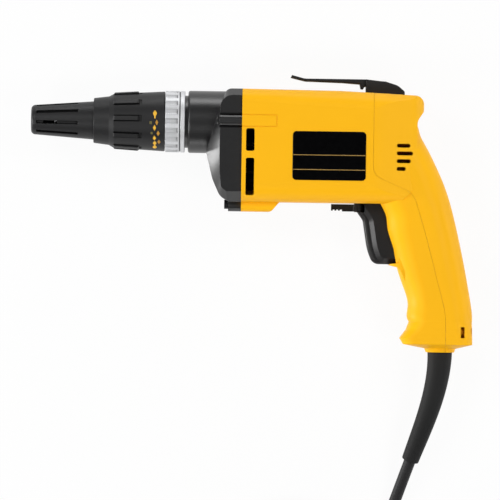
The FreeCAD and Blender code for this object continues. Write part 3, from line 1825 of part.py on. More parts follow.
def cord_tie():
    """A flat strap round the bundle of turns."""
    inner = coil_outer_radius - coil_pitch * coil_turns_per_layer - cord_radius - tie_gap - coil_tuck
    outer = coil_outer_radius + cord_radius + tie_gap
    low = cord_route[-1][2] - cord_radius - tie_gap
    high = cord_route[-1][2] + coil_rise + cord_radius + tie_gap
    t = tie_thickness
    r = cord_radius

    def ring(step):
        corners = [
            (inner - step, low - step, r + step),
            (outer + step, low - step, r + step),
            (outer + step, high + step, r + step),
            (inner - step, high + step, r + step),
        ]
        return Part.Face(rounded(corners, on_xz(-tie_width / 2))).extrude(V(0, tie_width, 0))

    strap = ring(t).cut(ring(0))
    x, y, floor = cord_route[-1]
    strap.rotate(V(0, 0, 0), V(0, 0, 1), tie_angle)
    strap.translate(V(x - coil_outer_radius, y - 2 * cord_radius, 0))
    return strap


def plug_frame(shape, end, leave):
    """Turns a shape drawn along +X from the origin to lie along the cord's end."""
    angle = math.degrees(math.atan2(leave.y, leave.x))
    shape = shape.rotated(V(0, 0, 0), V(0, 0, 1), angle)
    return shape.translated(end)


def plug_body():
    neck = plug_relief_length
    return turned(
        [
            (0, 0, 0),
            (0, plug_tail_radius, 0),
            (neck, plug_neck_radius, plug_edge),
            (neck + plug_shoulder, plug_radius, plug_edge),
            (neck + plug_length, plug_radius, plug_edge / 2),
            (neck + plug_length, 0, 0),
        ],
        0,
    ).cut(plug_blades(run_gap))


def plug_blades(gap):
    start = plug_relief_length + plug_length - blade_root - gap
    end = plug_relief_length + plug_length + blade_length
    blades = []
    for sign, width in ((1, blade_width), (-1, blade_wide)):
        y = sign * blade_step
        thick = blade_thick / 2 + gap
        half = width / 2 + gap
        blades.append(block(start, end, y - thick, y + thick, -half, half))
    return Part.makeCompound(blades)


def main():
    os.makedirs("parts", exist_ok=True)
    shell = cut_housing(make_shell())
    zone = parting_zone(0)
    late = parting_zone(parting_gap)
    brushes, brush_boxes, brush_springs = brush_pieces()
    coil, end, leave = cord_coil()
    bore = spindle_radius + run_gap
    front = (joint_x - front_bearing_width, front_bearing_width, front_bearing_radius, shaft_radius)
    rear = (rear_bearing_x, rear_bearing_width, rear_bearing_radius, shaft_rear_radius)
    pieces = {
        "motor_housing": shell.cut(zone).fuse(clamp_posts()),
        "rear_cover": shell.common(late),
        "gear_case": gear_case(),
        "bearing_plate": bearing_plate(),
        "gear_case_screws": Part.makeCompound(
            [screw(seat, joint_x + screw_bite, y, z) for y, z, seat in case_screw_axes()]
        ),
        "cover_screws": cover_screws(),
        "label_plate": label_plate(),
        "belt_hook": belt_hook(),
        "belt_hook_screw": belt_hook_screw(),
        "spindle_bush": tube(spigot_x, cavity_x, bush_radius - run_gap, bore, spindle_rise),
        "nose_seal": seal(0),
        "thrust_washer": tube(washer_x, flange_x - run_gap, washer_radius, bore, spindle_rise),
        "spindle": spindle(),
        "retaining_clip": retaining_clip(),
        "retaining_ball": retaining_ball(0),
        "bit_holder": bit_holder(),
        "bit_magnet": bit_magnet(),
        "clutch_spring": clutch_spring(),
        "clutch_gear": clutch_gear(),
        "depth_ring": depth_ring(),
        "depth_collar": depth_collar(),
        "nose_cone": nose_cone(),
        "armature_shaft": armature_shaft(),
        "armature_core": armature_core(),
        "armature_windings": armature_windings(),
        "commutator": commutator(),
        "cooling_fan": cooling_fan(),
        "front_bearing": ball_bearing(*front),
        "rear_bearing": ball_bearing(*rear),
        "fan_baffle": fan_baffle(),
        "field_core": field_core(),
        "field_coils": field_coils(),
        "brushes": brushes,
        "brush_holders": brush_boxes,
        "brush_springs": brush_springs,
        "trigger": trigger(),
        "switch_body": switch_body(),
        "reversing_lever": reversing_lever(),
        "cord_relief": cord_relief(),
        "cord_clamp": cord_clamp(),
        "clamp_screws": clamp_screws(),
    }
    for name, shape in pieces.items():
        write(name, shape.translated(V(0, 0, rest_height)))
    write("cord_lead", routed(cord_route, cord_radius))
    write("cord_coil", coil)
    write("cord_tie", cord_tie())
    write("plug_body", plug_frame(plug_body(), end, leave))
    write("plug_blades", plug_frame(plug_blades(0), end, leave))


def write(name, shape):
    print(name, len(shape.Solids), "valid", shape.isValid(), "volume", round(shape.Volume, 1))
    shape.exportStep("parts/" + name + ".step")


main()
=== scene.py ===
import json
import math

import bmesh
import bpy
import numpy as np
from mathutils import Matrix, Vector


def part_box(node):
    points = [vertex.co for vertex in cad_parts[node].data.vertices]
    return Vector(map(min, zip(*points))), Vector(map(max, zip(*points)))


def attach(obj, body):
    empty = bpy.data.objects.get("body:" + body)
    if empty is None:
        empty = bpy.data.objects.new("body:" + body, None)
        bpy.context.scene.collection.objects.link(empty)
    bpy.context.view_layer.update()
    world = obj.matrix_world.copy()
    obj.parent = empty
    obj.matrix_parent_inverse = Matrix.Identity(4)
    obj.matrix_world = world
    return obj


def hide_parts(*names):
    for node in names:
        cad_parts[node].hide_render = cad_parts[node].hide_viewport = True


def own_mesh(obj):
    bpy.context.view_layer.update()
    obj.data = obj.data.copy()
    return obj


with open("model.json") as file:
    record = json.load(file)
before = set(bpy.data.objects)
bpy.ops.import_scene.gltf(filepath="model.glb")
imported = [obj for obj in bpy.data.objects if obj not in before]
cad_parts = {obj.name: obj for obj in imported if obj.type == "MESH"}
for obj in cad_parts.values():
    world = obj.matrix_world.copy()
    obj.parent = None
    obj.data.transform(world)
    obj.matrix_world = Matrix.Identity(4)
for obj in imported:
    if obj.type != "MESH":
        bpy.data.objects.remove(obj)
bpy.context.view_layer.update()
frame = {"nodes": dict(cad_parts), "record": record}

mm = 0.001
nodes = frame["nodes"]

# Places read from the frame
nose_low, nose_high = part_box("nose_cone")
collar_low, collar_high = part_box("depth_collar")
label_low, label_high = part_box("label_plate")
mid_z = (nose_low.z + nose_high.z) / 2
spindle_y = (nose_low.y + nose_high.y) / 2

# Camera: straight down on the tool's left side
image_pixels = 500
pixel_size = 0.682 * mm
camera_turn = math.radians(0.836)
camera_aim = Vector((-39.9 * mm, -70.8 * mm, mid_z))
camera_distance = 5.0
sensor_width = 36.0

camera_data = bpy.data.cameras.new("camera")
camera_data.sensor_width = sensor_width
camera_data.lens = sensor_width * camera_distance / (image_pixels * pixel_size)
camera_data.clip_end = 2 * camera_distance
camera = bpy.data.objects.new("camera", camera_data)
camera.location = camera_aim + Vector((0, 0, camera_distance))
camera.rotation_euler = (0, 0, camera_turn)
bpy.context.scene.collection.objects.link(camera)
bpy.context.scene.camera = camera

# Cord: the free run leaves the sleeve and ends in a two-layer coil beside the plug
cord_radius = 4.0 * mm
cord_route = [
    (71.8, -212.5, 20.0),
    (64.6, -233.0, 12.2),
    (57.4, -254.0, 6.8),
    (52.6, -277.0, 5.6),
    (52.6, -299.0, 5.6),
]
coil_lead = 8.0
coil_layer_turns = 3.25
coil_climb_turns = 0.5
coil_leave_turns = 0.25
coil_pitch = 8.9
coil_rise = 8.8
coil_tuck = 1.9
coil_radius = 61.0
coil_points_per_turn = 16


def coil_points():
    """Control points of the coil: radius falls by one pitch a turn on the lower layer, the cord climbs
    half a turn at the inside, and the radius grows again above. The points stand outside the line by the
    share that a quadratic spline cuts off a regular polygon's corners."""
    turns = 2 * coil_layer_turns + coil_climb_turns + coil_leave_turns
    turn = np.linspace(0, turns, int(round(turns * coil_points_per_turn)) + 1)
    inner = coil_radius - coil_pitch * coil_layer_turns
    climb = np.clip((turn - coil_layer_turns) / coil_climb_turns, 0, 1)
    grown = np.clip(turn - coil_layer_turns - coil_climb_turns, 0, None)
    radius = np.where(turn < coil_layer_turns, coil_radius - coil_pitch * turn, inner + coil_pitch * grown)
    radius = radius - coil_tuck * np.sin(np.pi * climb)
    height = cord_route[-1][2] + coil_rise * (climb - np.sin(2 * np.pi * climb) / (2 * np.pi))
    corner = 0.75 + 0.25 * math.cos(2 * math.pi / coil_points_per_turn)
    angle = -2 * np.pi * turn
    centre_x = cord_route[-1][0] - coil_radius
    centre_y = cord_route[-1][1] - coil_lead
    x = centre_x + radius / corner * np.cos(angle)
    y = centre_y + radius / corner * np.sin(angle)
    last = (x[-1] - coil_lead, centre_y - radius[-1], height[-1])
    x[-1] = centre_x
    y[-1] = centre_y - radius[-1]
    return list(zip(x, y, height)) + [last]


def make_cord():
    """A round tube on one quadratic NURBS line through the route and the coil's turns."""
    points = cord_route + coil_points()
    curve = bpy.data.curves.new("mains_cord", "CURVE")
    curve.dimensions = "3D"
    curve.bevel_depth = 1.0
    curve.bevel_resolution = 6
    curve.resolution_u = 8
    spline = curve.splines.new("NURBS")
    spline.points.add(len(points) - 1)
    flat = np.ones((len(points), 4))
    flat[:, :3] = np.array(points) * mm
    spline.points.foreach_set("co", flat.ravel())
    spline.points.foreach_set("radius", np.full(len(points), cord_radius))
    spline.order_u = 3
    spline.use_endpoint_u = True
    cord = bpy.data.objects.new("mains_cord", curve)
    bpy.context.scene.collection.objects.link(cord)
    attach(cord, "tool")
    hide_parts("cord_lead", "cord_coil")
    return cord


cord = make_cord()


# Materials
edge_radius = 0.35 * mm
# Painted shade for grooves: the dark shade that their colour falls to, the share that the deepest keep, and
# the specular level of open faces
painted_groove_shade = "0C0C0C"
groove_light = 0.12
unshaded_specular = 0.5
grain_gloss_swing = 0.06
line_gloss_swing = 0.08
line_run_scale = 40.0
band_depth_mm = 0.1
wave_rate = 20 / math.pi


def linear(shade):
    """An sRGB hex colour as linear RGBA."""
    channels = [int(shade[i : i + 2], 16) / 255 for i in (0, 2, 4)]
    return [c / 12.92 if c <= 0.04045 else ((c + 0.055) / 1.055) ** 2.4 for c in channels] + [1.0]


def add(tree, kind, settings, links=()):
    """Adds a node: settings go to its properties or to its sockets, links come from other sockets."""
    node = tree.nodes.new(kind)
    for key, value in dict(settings).items():
        if isinstance(key, str) and hasattr(node, key):
            setattr(node, key, value)
        else:
            node.inputs[key].default_value = value
    for key, source in dict(links).items():
        tree.links.new(source, node.inputs[key])
    return node


def surface(name, **constants):
    """A material with one principled shader; constants are set on the shader's own sockets."""
    material = bpy.data.materials.new(name)
    material.use_nodes = True
    tree = material.node_tree
    tree.nodes.clear()
    settings = {key.replace("_", " "): value for key, value in constants.items()}
    shader = add(tree, "ShaderNodeBsdfPrincipled", settings)
    add(tree, "ShaderNodeOutputMaterial", {}, {"Surface": shader.outputs[0]})
    place = add(tree, "ShaderNodeTexCoord", {}).outputs["Object"]
    return material, tree, shader, place


def finish_relief(tree, shader, height, depth_mm):
    """Bump from a height pattern, over edges broken by the small radius that a mould or tumbler leaves."""
    edge = add(tree, "ShaderNodeBevel", {"samples": 4, "Radius": edge_radius})
    bump = add(
        tree,
        "ShaderNodeBump",
        {"Strength": 1.0, "Distance": depth_mm * mm},
        {"Height": height, "Normal": edge.outputs[0]},
    )
    tree.links.new(bump.outputs[0], shader.inputs["Normal"])


def paint_groove_shade(tree, shader, tint, reach_mm, full_sky=0.92):
    """Painted shade in grooves narrower than the reach: colour and gloss fall towards a dark shade with the
    share of open sky.
    """
    sky = add(
        tree,
        "ShaderNodeAmbientOcclusion",
        {"samples": 8, "only_local": True, "Distance": reach_mm * mm},
    )
    open_share = add(
        tree,
        "ShaderNodeMapRange",
        {"From Min": full_sky / 2, "From Max": full_sky, "To Min": groove_light, "To Max": 1.0},
        {"Value": sky.outputs["AO"]},
    ).outputs[0]
    shaded = add(
        tree,
        "ShaderNodeMix",
        {"data_type": "RGBA", 6: linear(painted_groove_shade)},
        {0: open_share, 7: tint},
    )
    tree.links.new(shaded.outputs[2], shader.inputs["Base Color"])
    gloss = add(tree, "ShaderNodeMath", {"operation": "MULTIPLY", 1: unshaded_specular}, {0: open_share})
    tree.links.new(gloss.outputs[0], shader.inputs["Specular IOR Level"])


def tinted(tree, shader, shade, spread, pattern):
    """Colour that a pattern swings by the spread, from a darker to a paler shade."""
    base = np.array(linear(shade))
    dark = list(base[:3] * (1 - spread)) + [1.0]
    pale = list(np.clip(base[:3] * (1 + spread), 0, 1)) + [1.0]
    tint = add(tree, "ShaderNodeMix", {"data_type": "RGBA", 6: dark, 7: pale}, {0: pattern})
    tree.links.new(tint.outputs[2], shader.inputs["Base Color"])
    return tint.outputs[2]


def uneven_gloss(tree, shader, roughness, swing, pattern):
    """Roughness that a pattern swings to both sides of its mean."""
    span = {"To Min": roughness - swing, "To Max": roughness + swing}
    gloss = add(tree, "ShaderNodeMapRange", span, {"Value": pattern})
    tree.links.new(gloss.outputs[0], shader.inputs["Roughness"])


def moulded(name, shade, roughness, grain_mm, depth_mm, cloud=0.05, cloud_mm=22.0, ior=1.5, shade_reach_mm=0.0):
    """Moulded thermoplastic: faint flow clouds in the colour, the etched grain of the mould as bump, and
    gloss that follows the grain."""
    material, tree, shader, place = surface(name, IOR=ior)
    flow = {"Scale": 1 / (cloud_mm * mm), "Detail": 3.0}
    clouds = add(tree, "ShaderNodeTexNoise", flow, {"Vector": place}).outputs[0]
    tint = tinted(tree, shader, shade, cloud, clouds)
    # painted shade in the grooves
    if shade_reach_mm:
        paint_groove_shade(tree, shader, tint, shade_reach_mm)
    etch = {"Scale": 1 / (grain_mm * mm), "Detail": 2.0}
    grain = add(tree, "ShaderNodeTexNoise", etch, {"Vector": place}).outputs[0]
    uneven_gloss(tree, shader, roughness, grain_gloss_swing, grain)
    finish_relief(tree, shader, grain, depth_mm)
    return material


def turned_metal(name, shade, roughness, line_mm, depth_mm, streak=0.12, metallic=1.0, shade_reach_mm=0.0):
    """Turned or cast metal: fine tool lines across X, with colour and gloss that vary along them."""
    material, tree, shader, place = surface(name, Metallic=metallic)
    scale = (1 / (line_mm * mm), line_run_scale, line_run_scale)
    stretch = add(tree, "ShaderNodeMapping", {"Scale": scale}, {"Vector": place})
    noise = {"Scale": 1.0, "Detail": 3.0}
    lines = add(tree, "ShaderNodeTexNoise", noise, {"Vector": stretch.outputs[0]}).outputs[0]
    tint = tinted(tree, shader, shade, streak, lines)
    # painted shade in the grooves
    if shade_reach_mm:
        paint_groove_shade(tree, shader, tint, shade_reach_mm, full_sky=0.985)
    uneven_gloss(tree, shader, roughness, line_gloss_swing, lines)
    finish_relief(tree, shader, lines, depth_mm)
    return material


def banded(name, shade, gap_shade, band_mm, roughness, metallic, axis):
    """Wound wire or stacked sheet: bands across an axis, with dark gaps, both of about the band's width."""
    material, tree, shader, place = surface(name, Metallic=metallic)
    bands = add(
        tree,
        "ShaderNodeTexWave",
        {"bands_direction": axis, "Scale": 1 / (wave_rate * band_mm * mm), "Distortion": 0.6},
        {"Vector": place},
    )
    tint = add(
        tree,
        "ShaderNodeMix",
        {"data_type": "RGBA", 6: linear(gap_shade), 7: linear(shade)},
        {0: bands.outputs["Fac"]},
    )
    tree.links.new(tint.outputs[2], shader.inputs["Base Color"])
    shader.inputs["Roughness"].default_value = roughness
    finish_relief(tree, shader, bands.outputs["Fac"], band_depth_mm)
    return material


materials = {
    # Glass-filled nylon, moulded in an etched tool: even colour, soft satin gloss
    "housing_yellow": moulded("yellow_nylon", "FEBA01", 0.48, 0.9, 0.012, cloud=0.025, ior=1.3),
    # Black glass-filled nylon: dark satin, the grain shows where light grazes it
    "case_black": moulded("case_nylon", "0F0F10", 0.34, 0.8, 0.015, ior=1.6),
    # The nose and the collar carry painted shade in their grooves
    "nose_black": moulded("nose_nylon", "1A1A1B", 0.44, 0.7, 0.015, ior=1.38, shade_reach_mm=2.5),
    "collar_black": moulded("collar_nylon", "19191A", 0.46, 0.6, 0.02, ior=1.38, shade_reach_mm=1.5),
    "trigger_black": moulded("trigger_nylon", "1D1C1C", 0.38, 0.8, 0.01, ior=1.32),
    "inner_plastic": moulded("switch_plastic", "151516", 0.5, 0.8, 0.012, ior=1.4),
    "tie_black": moulded("strap_plastic", "1C1C1D", 0.4, 0.8, 0.012),
    # Smooth acrylic-faced plate: near black, clear gloss with slight orange peel
    "label_black": moulded("label_acrylic", "020203", 0.2, 2.6, 0.008, ior=1.3),
    # Powder coat on steel: fine bumpy skin
    "hook_black": moulded("hook_powder_coat", "19191A", 0.5, 0.75, 0.06, ior=1.36),
    # Moulded rubber: matt, slightly chalky
    "rubber_black": moulded("sleeve_rubber", "1A1A1A", 0.62, 0.7, 0.03, cloud=0.12, ior=1.3),
    "cord_rubber": moulded("cord_jacket_rubber", "1D1C1D", 0.55, 0.8, 0.02, cloud=0.1, ior=1.36),
    "carbon": moulded("brush_carbon", "232323", 0.7, 0.5, 0.02),
    # Die-cast aluminium, turned on the outside
    # The depth ring carries painted shade in its scallops
    "ring_silver": turned_metal("ring_aluminium", "D4D5D7", 0.52, 0.35, 0.01, metallic=0.75, shade_reach_mm=4.0),
    "plate_metal": turned_metal("plate_zinc_alloy", "9C9EA0", 0.45, 0.6, 0.02),
    # The fan's aluminium is painted far darker than the metal: painted shade for the inside of the vents
    "fan_grey": turned_metal("fan_aluminium_painted_dark", "3C3D3E", 0.5, 0.6, 0.02),
    # Black oxide on steel: dark, with a dull metallic sheen
    "screw_black": turned_metal("screw_black_oxide", "2E2F31", 0.4, 0.3, 0.008),
    "screw_steel": turned_metal("screw_zinc_plate", "9A9C9E", 0.34, 0.3, 0.008),
    "hardened_steel": turned_metal("ground_steel", "9A9B9C", 0.28, 0.25, 0.006),
    "bearing_steel": turned_metal("bearing_steel", "B0B2B4", 0.18, 0.25, 0.004),
    "spring_steel": turned_metal("spring_wire", "7E8082", 0.35, 0.2, 0.006),
    "bronze": turned_metal("sintered_bronze", "A57A3C", 0.5, 0.4, 0.02),
    "brush_brass": turned_metal("stamped_brass", "B8923E", 0.32, 0.4, 0.008),
    "blade_brass": turned_metal("blade_brass", "C2A15A", 0.25, 0.35, 0.006),
    "magnet_grey": turned_metal("magnet_nickel", "8E9092", 0.22, 0.3, 0.004),
    # Stacked sheets and wound wire
    "lamination": banded("stacked_laminations", "6A6C6E", "2C2D2E", 0.5, 0.5, 0.9, "X"),
    "copper_winding": banded("lacquered_wire", "B06A35", "3C2010", 0.6, 0.3, 0.7, "DIAGONAL"),
    "commutator_copper": turned_metal("commutator_copper", "B87545", 0.3, 0.3, 0.006),
}

for row in frame["record"]["subparts"]:
    mesh = nodes[row["node"]].data
    mesh.materials.clear()
    mesh.materials.append(materials[row["material_slot"]])
cord.data.materials.append(materials["cord_rubber"])

# Printed marks: depth signs on the collar and two fine lines on the label plate
# Screen-printed ink: dull gold on the plate, and yellow that thins out on the smaller signs
print_inks = {
    "label_gold": moulded("label_gold_ink", "A8843C", 0.5, 0.8, 0.006, cloud=0.2, cloud_mm=6.0),
    "sign_yellow": moulded("sign_yellow_ink", "F0B93A", 0.5, 0.8, 0.006, cloud=0.1, cloud_mm=6.0, ior=1.3),
    "sign_amber": moulded("sign_amber_ink", "BE8B34", 0.5, 0.8, 0.006, cloud=0.2, cloud_mm=6.0, ior=1.3),
    "sign_olive": moulded("sign_olive_ink", "6A6236", 0.5, 0.8, 0.006, cloud=0.2, cloud_mm=6.0, ior=1.3),
}
print_lift = 0.05 * mm
print_thickness = 0.12 * mm
collar_slope = 0.0548
collar_rear_radius = (collar_high.y - collar_low.y) / 2
label_margin = 0.3 * mm
label_line_width = 0.5 * mm


def skin(name, body, points, material, wall=print_thickness):
    """A surface from a grid of points (rows, columns, 3), thickened inwards by the wall, if it has one."""
    rows, columns = points.shape[:2]
    index = np.arange(rows * columns).reshape(rows, columns)
    quads = np.stack([index[:-1, :-1], index[1:, :-1], index[1:, 1:], index[:-1, 1:]], axis=-1)
    mesh = bpy.data.meshes.new(name)
    mesh.from_pydata(points.reshape(-1, 3).tolist(), [], quads.reshape(-1, 4).tolist())
    piece = bpy.data.objects.new(name, mesh)
    bpy.context.scene.collection.objects.link(piece)
    if wall:
        solid = piece.modifiers.new("wall", "SOLIDIFY")
        solid.thickness = wall
        solid.offset = -1.0
    mesh.materials.append(material)
    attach(piece, body)
    return piece


def collar_mark(name, x_mm, arc_mm, half_length_mm, widths_mm, ink):
    """A mark on the collar's cone. Along the arc, t runs from -1 to 1 and the half width follows the listed
    widths in even steps; each point (x, arc) goes to the radius r(x) that falls with the cone's slope, at
    the angle arc / r from straight up, towards the tool's top."""
    t = np.linspace(-1, 1, 33)
    half_width = np.interp(t, np.linspace(-1, 1, len(widths_mm)), widths_mm)
    across = np.linspace(-1, 1, 5)
    x = (x_mm + half_width[:, None] * across[None, :]) * mm
    arc = np.broadcast_to((arc_mm + half_length_mm * t)[:, None] * mm, x.shape)
    radius = collar_rear_radius - collar_slope * (collar_high.x - x) + print_lift
    angle = arc / radius
    points = np.stack([x, spindle_y + radius * np.sin(angle), mid_z + radius * np.cos(angle)], axis=-1)
    return skin(name, "collar", points[:, ::-1], print_inks[ink])


# Signs on the collar: name, place along X, place round the collar, half length, half widths, ink
collar_signs = [
    ("depth_arrow_more", -105.8, 4.5, 2.9, (0.4, 0.5, 0.6, 1.2, 1.4, 0.7, 0.05), "sign_yellow"),
    ("depth_step_1", -104.5, -1.1, 1.9, (0.05, 1.0, 0.05), "sign_amber"),
    ("depth_step_2", -106.0, -4.8, 2.1, (0.05, 1.1, 0.05), "sign_yellow"),
    ("depth_step_3", -103.5, -8.8, 2.0, (0.05, 1.1, 0.05), "sign_amber"),
    ("depth_step_4", -106.0, -12.5, 2.0, (0.05, 1.1, 0.05), "sign_yellow"),
    ("depth_step_5", -102.9, -15.8, 1.9, (0.05, 1.1, 0.05), "sign_amber"),
    ("depth_dot_1", -108.6, -1.3, 1.0, (0.7, 0.9, 0.7), "sign_olive"),
    ("depth_dot_2", -107.9, -8.6, 0.9, (0.6, 0.8, 0.6), "sign_olive"),
    ("depth_arrow_less", -105.8, -19.7, 4.4, (0.05, 1.0, 1.4, 1.3, 0.5, 0.4, 1.2, 1.0, 0.3), "sign_yellow"),
]
for sign in collar_signs:
    collar_mark(*sign)


def label_line(name, y_mm):
    """A flat strip across the label plate: x runs between the plate's ends, y across the line's width."""
    x = np.linspace(label_low.x + label_margin, label_high.x - label_margin, 24)
    y = y_mm * mm + np.linspace(-0.5, 0.5, 3) * label_line_width
    grid_x, grid_y = np.meshgrid(x, y)
    grid_z = np.full_like(grid_x, label_high.z + print_lift)
    points = np.stack([grid_x, grid_y, grid_z], axis=-1)
    return skin(name, "tool", points[::-1], print_inks["label_gold"])


label_line("label_line_upper", -5.8)
label_line("label_line_lower", -15.7)

# Thin moulded walls that close the sight lines round the fan, the lever's hub and the trigger's top; the
# dark walls round the fan stand in for the shade inside the vents
fan_low, fan_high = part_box("cooling_fan")
lever_low, lever_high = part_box("reversing_lever")
trigger_low, trigger_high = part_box("trigger")
scroll_gap = 0.7 * mm
hub_gap = 0.3 * mm
hub_radius = 4.4 * mm
hub_x = lever_high.x - hub_radius
rim_gap = 0.35 * mm
rim_height = 0.8 * mm
barrel_underside = -38.0 * mm
scroll_angles = (8.0, 36.0)
skirt_angle = 118.0


def fan_shade_scroll(name, side):
    """Part of a cylinder round the fan: x along the fan's width, and from straight down the angle a runs up
    one side, with y = -r cos a and z = r sin a about the motor's axis. A dark sheet that stands in for the
    shade inside the vents."""
    radius = (fan_high.y - fan_low.y) / 2 + scroll_gap
    x = np.linspace(fan_low.x, fan_high.x, 6)
    angle = side * np.radians(np.linspace(*scroll_angles, 20))
    grid_x, grid_a = np.meshgrid(x, angle)
    points = np.stack([grid_x, -radius * np.cos(grid_a), mid_z + radius * np.sin(grid_a)], axis=-1)
    return skin(name, "tool", points[:, :: int(side)], materials["inner_plastic"])


def lever_skirt(name):
    """An open sleeve round the lever's hub: x = r cos a and z = r sin a about the hub's axis, y down its
    height; the gap towards the nose lets the lever's arm swing."""
    radius = hub_radius + hub_gap
    angle = np.radians(np.linspace(-skirt_angle, skirt_angle, 60))
    y = np.array([barrel_underside, lever_low.y - rim_gap])
    grid_a, grid_y = np.meshgrid(angle, y)
    points = np.stack([hub_x + radius * np.cos(grid_a), grid_y, mid_z + radius * np.sin(grid_a)], axis=-1)
    return skin(name, "tool", points, materials["trigger_black"])


def trigger_rim(name, side):
    """A low wall along the trigger's top, on one side: x along the wall, y down its height."""
    x = np.linspace(lever_high.x, trigger_high.x, 8)
    y = np.array([barrel_underside, barrel_underside - rim_height])
    grid_x, grid_y = np.meshgrid(x, y)
    grid_z = np.full_like(grid_x, mid_z + side * ((trigger_high.z - trigger_low.z) / 2 + rim_gap))
    points = np.stack([grid_x, grid_y, grid_z], axis=-1)
    return skin(name, "tool", points[:: -int(side)], materials["trigger_black"])


fan_shade_scroll("fan_shade_scroll_near", 1)
fan_shade_scroll("fan_shade_scroll_far", -1)
lever_skirt("lever_skirt")
for i, side in enumerate((1, -1)):
    trigger_rim("trigger_rim_%d" % i, side)

# Nodes that stand on the tool with some of their points moved
merge_distance = 0.001 * mm


def merged_copy(name, node, flat_angle=0):
    """A node's mesh with its double points merged, and flat faces joined up to the angle, if it is given;
    its points come back as x, y and z in millimetres."""
    mesh = nodes[node].data.copy()
    mesh.name = name
    work = bmesh.new()
    work.from_mesh(mesh)
    bmesh.ops.remove_doubles(work, verts=work.verts, dist=merge_distance)
    if flat_angle:
        bmesh.ops.dissolve_limit(work, angle_limit=flat_angle, verts=work.verts, edges=work.edges)
    work.to_mesh(mesh)
    work.free()
    flat = np.empty(3 * len(mesh.vertices))
    mesh.vertices.foreach_get("co", flat)
    return mesh, flat.reshape(-1, 3).T / mm


def stand_in(mesh, moved, node):
    """The mesh with its moved points, in millimetres, on the tool in place of its node."""
    mesh.vertices.foreach_set("co", (np.stack(moved, axis=-1) * mm).ravel())
    mesh.update()
    piece = bpy.data.objects.new(mesh.name, mesh)
    bpy.context.scene.collection.objects.link(piece)
    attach(piece, "tool")
    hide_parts(node)
    return piece


# Belt hook, in millimetres: the folded strip with a short catch that ends above the housing. The catch and
# the arm's root are picked by a range in x and the y that they lie below
hook_catch = (33.0, 36.8, 40.0)
hook_catch_lift = 2.5
hook_catch_taper = 0.5
hook_catch_middle = 34.5
hook_arm_root = (21.0, 23.0, 44.0)
hook_arm_lift = 0.8
hook_back_start = 52.0
hook_back_reach = 7.0
hook_back_foot = 37.7
hook_back_height = 3.4
hook_back_drop = 0.9
hook_flat_angle = 0.004


def folded_hook(name):
    """The hook's own mesh with its flat faces joined, and points moved in millimetres: the catch's lower
    end is lifted off the housing and narrowed, the arm's underside is lifted at its root, and the back's
    top falls evenly over its length, less towards the foot."""
    mesh, (x, y, z) = merged_copy(name, "belt_hook", hook_flat_angle)
    low, high, top = hook_catch
    catch = (x > low) & (x < high) & (y < top)
    low, high, top = hook_arm_root
    root = (x > low) & (x < high) & (y < top)
    back = np.clip((x - hook_back_start) / hook_back_reach, 0, 1)
    back = back * np.clip((y - hook_back_foot) / hook_back_height, 0, 1)
    lift = hook_catch_lift * catch + hook_arm_lift * root - hook_back_drop * back
    narrowed = hook_catch_middle + hook_catch_taper * (x - hook_catch_middle)
    mesh.attributes.remove(mesh.attributes["custom_normal"])
    mesh.shade_flat()
    return stand_in(mesh, [np.where(catch, narrowed, x), y + lift, z], "belt_hook")


folded_hook("folded_belt_hook")

# Motor housing, in millimetres: the finger lip's top edge lies low, so that the trigger's heel shows over
# it, and its rim runs out into the grip
lip_zone_x = (54.5, 61.5)
lip_zone_y = (-77.5, -74.2)
lip_zone_depth = 10.7
lip_top = (60.0, -78.4)
lip_top_slope = 0.12
lip_rim_depth = 14.4
lip_rim_x = (61.0, 62.7)
lip_rim_lean = 0.42
lip_run_start = -82.5
lip_run_length = 8.5
lip_run_drop = 3.0
lip_run_end = 1.05


def low_lip_housing(name):
    """The housing's own mesh, merged with its normals kept; the points of the finger lip's top edge move
    down to a line that rises evenly with x, and those of its rim sink evenly along its run, to the grip."""
    source = nodes["motor_housing"].data
    normals = np.empty(3 * len(source.loops))
    source.corner_normals.foreach_get("vector", normals)
    mesh, (x, y, z) = merged_copy(name, "motor_housing")
    side = z - mid_z / mm
    edge = (x > lip_zone_x[0]) & (x < lip_zone_x[1]) & (y > lip_zone_y[0]) & (y < lip_zone_y[1])
    edge = edge & (np.abs(side) > lip_zone_depth)
    line = lip_top[1] + lip_top_slope * (x - lip_top[0])
    run = (lip_run_start - y) / lip_run_length
    rim = (np.abs(side) > lip_rim_depth) & (run > 0) & (run < lip_run_end)
    rim = rim & (x > lip_rim_x[0]) & (x < lip_rim_x[1] + lip_rim_lean * run * lip_run_length)
    sunk = z - np.sign(side) * lip_run_drop * np.clip(run, 0, 1) * rim
    housing = stand_in(mesh, [x, np.where(edge, line, y), sunk], "motor_housing")
    mesh.normals_split_custom_set(normals.reshape(-1, 3).tolist())
    return housing


low_lip_housing("motor_housing_shell")

# Clutch spring, a coil of one fixed length here; in the tool it shortens as the spindle is pushed in
spring_low, spring_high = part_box("clutch_spring")
spring_wire = 1.3 * mm
spring_turns = 3
spring_point = 0.02


def spring_coil(name):
    """A wire round a helix: a runs along the turns at radius R and x grows evenly with a; b runs round the
    wire, of radius w, with its middle at (x, R cos a, R sin a). The wire tapers to a point at both ends."""
    mid_radius = (spring_high.y - spring_low.y - spring_wire) / 2
    a = np.linspace(0, 2 * np.pi * spring_turns, 32 * spring_turns + 1)
    b = np.linspace(0, 2 * np.pi, 13)
    w = np.full(len(a), spring_wire / 2)
    w[[0, -1]] = spring_point * w[1]
    x = np.linspace(spring_low.x + spring_wire / 2, spring_high.x - spring_wire / 2, len(a))
    radius = mid_radius + w[:, None] * np.cos(b)[None, :]
    grid_x = x[:, None] + w[:, None] * np.sin(b)[None, :]
    y = spindle_y + radius * np.cos(a)[:, None]
    z = mid_z + radius * np.sin(a)[:, None]
    points = np.stack([grid_x, y, z], axis=-1)[::-1]
    coil = skin(name, "tool", points, materials["spring_steel"], wall=0)
    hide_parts("clutch_spring")
    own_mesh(coil)
    return coil


